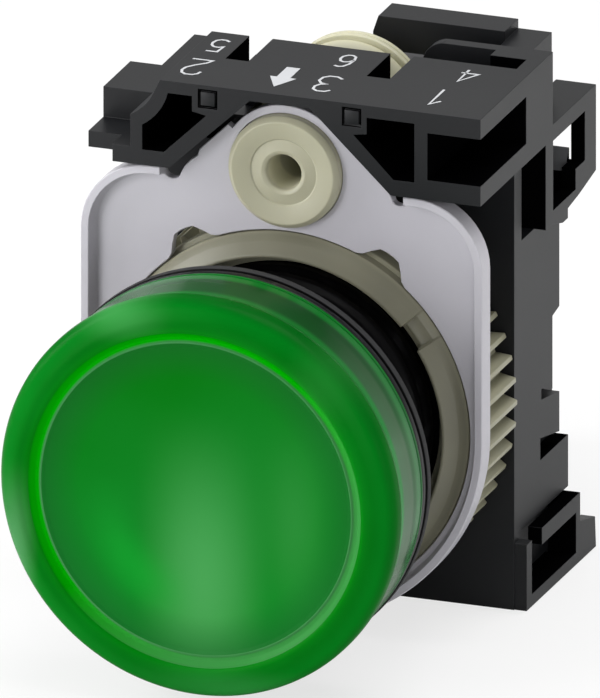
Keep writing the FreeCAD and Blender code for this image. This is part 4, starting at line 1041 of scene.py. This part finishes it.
def make_print():
    """Position numbers and arrow in thin white print on the bar, read from behind."""
    bm = bmesh.new()
    for text, x, along, wide, tall in (
            ("2", -7.5, 3.0, 1.6, 3.15), ("5", -7.5, 7.65, 1.2, 2.45),
            ("3", 2.35, 2.9, 1.6, 3.15), ("6", 2.0, 7.75, 1.2, 2.45),
            ("1", 10.7, 3.0, 1.6, 3.15), ("4", 11.1, 7.75, 1.3, 2.45)):
        for stroke in STROKES[text]:
            line = [Vector(((x - (a - 0.5) * wide) * MM,
                            (PANEL_GAP + along - (b - 0.5) * tall) * MM)) for a, b in stroke]
            ribbon(bm, line, STROKE_WIDTH * MM, PRINT_TOP * MM)
    arrow = [(-0.96, 1.1), (0.0, 3.1), (-0.46, 3.1), (-0.46, 5.2), (-1.46, 5.2), (-1.46, 3.1),
             (-1.96, 3.1)]
    low, high = ([bm.verts.new((x * MM, (PANEL_GAP + y) * MM, z * MM)) for x, y in arrow]
                 for z in (PRINT_TOP - PRINT_THICKNESS, PRINT_TOP))
    faces = [bm.faces.new(low), bm.faces.new(high)] + bridge(bm, low, high)
    bmesh.ops.recalc_face_normals(bm, faces=faces)
    marks = object_from(bm, "bar_print", "print", smooth=0)
    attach(marks, "holder_unit")


# Gears

def tooth_shape(pitch_radius, up, front, back):
    """One tooth as a closed prism with soft edges."""
    play = 0.06
    addendum = MODULE * 0.9
    dedendum = MODULE * 1.25
    half = MODULE * math.pi / 4.0 - play
    slope = math.tan(math.radians(20.0))
    root = pitch_radius - dedendum - 0.15
    tip = pitch_radius + addendum
    bm = bmesh.new()
    prism(bm, [(-(half + dedendum * slope), up * root), (half + dedendum * slope, up * root),
               (half - addendum * slope, up * tip), (-(half - addendum * slope), up * tip)],
          front, back)
    soften_edges(bm, 0.06)
    return bm


def make_clamp_ring():
    """Ring nut: front cone with a keyway, toothed rim and bore."""
    pitch_radius = MODULE * RING_TEETH / 2.0
    root = pitch_radius - MODULE * 1.25

    def keyway(index, angle, along):
        off = abs(angle - KEYWAY_ANGLE) * KEYWAY_RADIUS
        if along > KEYWAY_END or off > KEYWAY_HALF_WIDTH:
            return 0.0
        return (KEYWAY_DEPTH * min(1.0, (KEYWAY_HALF_WIDTH - off) / 0.1)
                * min(1.0, KEYWAY_END - along))

    body = object_from(lathe(rounded([
        (12.0, 8.8, 0.12),
        (12.25, 8.8, 0.2),
        (13.05, 9.55, 0.08),
        (13.6, 10.2, 0.08),
        (13.6, 10.95, 0.03),
        (13.95, 10.95, 0.1),
        (13.95, 12.1, 0.05),
        (root, 12.1, 0.05),
        (root, 18.0, 0.15),
        (11.08, 18.0, 0.15),
        (11.08, 11.0, 0.1),
        (12.0, 11.0, 0.2)], 4), 540, sink=keyway), "ring_body", "ring", "keyway")
    # the keyway's faces get the darker keyway beige as painted shade
    for face in body.data.polygons:
        centre = face.center / MM
        off = abs(math.atan2(centre.z, centre.x) - KEYWAY_ANGLE) * KEYWAY_RADIUS
        if off < 0.97 and centre.y < 10.0 and 12.05 < math.hypot(centre.x, centre.z) < 13.1:
            face.material_index = 1
    tooth = object_from(tooth_shape(pitch_radius, 1.0, 12.1, 18.0), "ring_tooth", "ring")
    teeth = repeat_around("ring_teeth", tooth, RING_TEETH, "ring", phase=math.pi / RING_TEETH)
    ring = join_meshes("clamping_ring", body, teeth)
    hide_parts("clamp_ring")
    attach(ring, "ring")


def make_pinion():
    """Toothed shaft with its front disc and driven head."""
    pitch_radius = MODULE * PINION_TEETH / 2.0
    root = pitch_radius - MODULE * 1.25
    # radius, place behind the plate's front and rounding of each corner
    profile = [(radius, PANEL_GAP + along, *corner) for radius, along, *corner in (
        (0.0, 6.0),
        (1.25, 6.0),
        (1.27, 1.0),
        (1.32, 0.45, 0.2),
        (1.62, 0.36, 0.2),
        (2.42, 0.52, 0.05),
        (2.5, 0.42, 0.05),
        (3.8, 0.15, 0.14),
        (4.16, 0.55, 0.2),
        (4.16, 2.95, 0.1),
        (root, 2.95),
        (root, 9.6),
        (5.0, 9.6, 0.15),
        (5.0, 14.7, 0.05),
        (4.7, 14.8, 0.05),
        (4.7, 15.0, 0.05),
        (5.3, 15.0, 0.12),
        (5.3, 15.35, 0.03),
        (5.2, 15.4, 0.03),
        (5.2, 15.5, 0.03),
        (5.3, 15.55, 0.03),
        (5.3, 16.0, 0.15),
        (0.0, 16.0))]
    body = object_from(lathe(rounded(profile, 4), height=PINION_HEIGHT), "pinion_body", "beige")
    arm, half = 2.4, 0.55
    cross = [(-arm, -half), (-half, -half), (-half, -arm), (half, -arm), (half, -half),
             (arm, -half), (arm, half), (half, half), (half, arm), (-half, arm),
             (-half, half), (-arm, half)]
    carve(body, [(x, PINION_HEIGHT + z) for x, z in cross], PANEL_GAP + 13.8, PANEL_GAP + 17.0)
    tooth = object_from(tooth_shape(pitch_radius, -1.0, PANEL_GAP + 3.25, PANEL_GAP + 9.6),
                        "pinion_tooth", "beige")
    teeth = repeat_around("pinion_teeth", tooth, PINION_TEETH, "beige", PINION_HEIGHT)
    pinion = join_meshes("drive_pinion", body, teeth)
    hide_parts("pinion")
    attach(pinion, "drive")


make_lens()
make_bezel()
make_small_lathes()
make_plate()
make_clamp_ring()
make_pinion()
make_print()

for node, name, finish, width in (
        ("holder", "holder_frame", "black", 0.12),
        ("block_body", "block_casing", "block", 0.15),
        ("block_cover", "block_lid", "block", 0.15),
        ("socket_shell", "lamp_sleeve", "nickel", 0.05),
        ("lamp_glass", "lamp_bulb", "glass", 0.0),
        ("lamp_filament", "lamp_wires", "wire", 0.02),
        ("lamp_cap", "lamp_cap_sheet", "nickel", 0.05),
        ("lamp_insulator", "lamp_base", "base", 0.06),
        ("lamp_contact", "lamp_foot_contact", "solder", 0.05),
        ("contact_leaf", "leaf_spring", "brass", 0.04),
        ("terminal_strip_top", "strip_top", "brass", 0.06),
        ("terminal_strip_bottom", "strip_bottom", "brass", 0.06),
        ("clamp_washer_top", "washer_top", "zinc", 0.08),
        ("clamp_washer_bottom", "washer_bottom", "zinc", 0.08),
        ("terminal_screw_top", "screw_top", "zinc", 0.08),
        ("terminal_screw_bottom", "screw_bottom", "zinc", 0.08)):
    piece = softened_copy(node, name, finish, width)
    if node == "holder":
        paint_recess_shade(piece)
    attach(piece, "holder_unit")


# Floor, light and camera

def make_floor():
    """Plain pale floor that keeps the shadow."""
    bm = bmesh.new()
    bmesh.ops.create_grid(bm, x_segments=2, y_segments=2, size=3.0)
    bmesh.ops.translate(bm, verts=bm.verts, vec=(0.0, 0.0, cad_low[2] - 0.00002))
    floor = object_from(bm, "floor", smooth=0)
    material = bpy.data.materials.new("floor_pale")
    tree, shader, output = nodes_of(material)
    coat(tree, shader, (0.9, 0.9, 0.9), 0.9, 0.0)
    white = add_node(tree, "ShaderNodeEmission")
    white.inputs["Strength"].default_value = 1.0
    paths = add_node(tree, "ShaderNodeLightPath")
    seen = math_node(tree, "MAXIMUM", paths.outputs["Is Camera Ray"],
                     paths.outputs["Is Transmission Ray"])
    mix = add_node(tree, "ShaderNodeMixShader")
    tree.links.new(times(tree, seen, 0.72), mix.inputs[0])
    tree.links.new(shader.outputs["BSDF"], mix.inputs[1])
    tree.links.new(white.outputs["Emission"], mix.inputs[2])
    tree.links.new(mix.outputs["Shader"], output.inputs["Surface"])
    floor.data.materials.append(material)


def make_world():
    """Even pale surroundings."""
    world = bpy.data.worlds.new("studio")
    bpy.context.scene.world = world
    world.use_nodes = True
    tree = world.node_tree
    tree.nodes.clear()
    output = tree.nodes.new("ShaderNodeOutputWorld")
    paths = tree.nodes.new("ShaderNodeLightPath")
    mix = tree.nodes.new("ShaderNodeMixShader")
    tree.links.new(paths.outputs["Is Camera Ray"], mix.inputs[0])
    # the surroundings light the object softly and look white to the camera
    for slot, strength in ((1, 0.4), (2, 1.0)):
        sky = tree.nodes.new("ShaderNodeBackground")
        sky.inputs["Color"].default_value = (1.0, 1.0, 1.0, 1.0)
        sky.inputs["Strength"].default_value = strength
        tree.links.new(sky.outputs[0], mix.inputs[slot])
    tree.links.new(mix.outputs[0], output.inputs["Surface"])


def add_lamp(name, place, aim, size, power, tall=None):
    """A soft square or oblong lamp."""
    data = bpy.data.lights.new(name, "AREA")
    data.shape = "RECTANGLE"
    data.size = size
    data.size_y = tall or size
    data.energy = power
    lamp = add_object(name, data)
    lamp.location = place
    way = Vector(aim) - Vector(place)
    lamp.rotation_euler = way.to_track_quat("-Z", "Y").to_euler()


def make_camera():
    """Parallel view from the front right and above, as in the photograph."""
    azimuth = math.radians(20.0)
    elevation = math.radians(20.0)
    # picture size and the plate centre's place in it, in pixels, and pixels per millimetre
    width, height = 600.0, 698.0
    seat_across, seat_down = 281.25, 419.4
    scale = 14.25
    right = Vector((math.cos(azimuth), math.sin(azimuth), 0.0))
    look = Vector((-math.cos(elevation) * math.sin(azimuth),
                   math.cos(elevation) * math.cos(azimuth), -math.sin(elevation)))
    up = right.cross(look)
    centre = Vector((0.0, PANEL_GAP * MM, 0.0))
    centre += right * ((width / 2.0 - seat_across) / scale * MM)
    centre += up * ((seat_down - height / 2.0) / scale * MM)
    data = bpy.data.cameras.new("camera")
    data.type = "ORTHO"
    data.sensor_fit = "VERTICAL"
    data.ortho_scale = height / scale * MM
    data.clip_start = 0.001
    data.clip_end = 10.0
    camera = add_object("camera", data)
    turn = Matrix((right, up, -look)).transposed().to_4x4()
    camera.matrix_world = Matrix.Translation(centre - look * 0.4) @ turn
    bpy.context.scene.camera = camera


make_floor()
make_world()
add_lamp("top_light", (0.1, 0.08, 0.5), (0.0, 0.01, 0.0), 0.35, 1.7)
add_lamp("right_light", (0.5, -0.1, 0.03), (0.0, 0.01, 0.0), 0.25, 0.4)
add_lamp("front_light", (-0.3, -0.5, 0.18), (0.0, 0.0, 0.0), 0.16, 0.9, 0.5)
add_lamp("left_light", (-0.14, -0.16, 0.07), (0.0, 0.0, 0.0), 0.08, 0.15, 0.14)
add_lamp("side_light", (-0.2, -0.04, 0.09), (0.0, 0.0, 0.0), 0.08, 0.3, 0.14)
add_lamp("rear_light", (-0.2, 0.55, 0.25), (0.0, 0.01, 0.02), 0.5, 0.16, 0.3)
add_lamp("low_light", (0.2, -0.4, 0.05), (0.0, 0.0, 0.0), 0.12, 0.22, 0.12)
make_camera()
bpy.context.scene.view_settings.view_transform = "Standard"
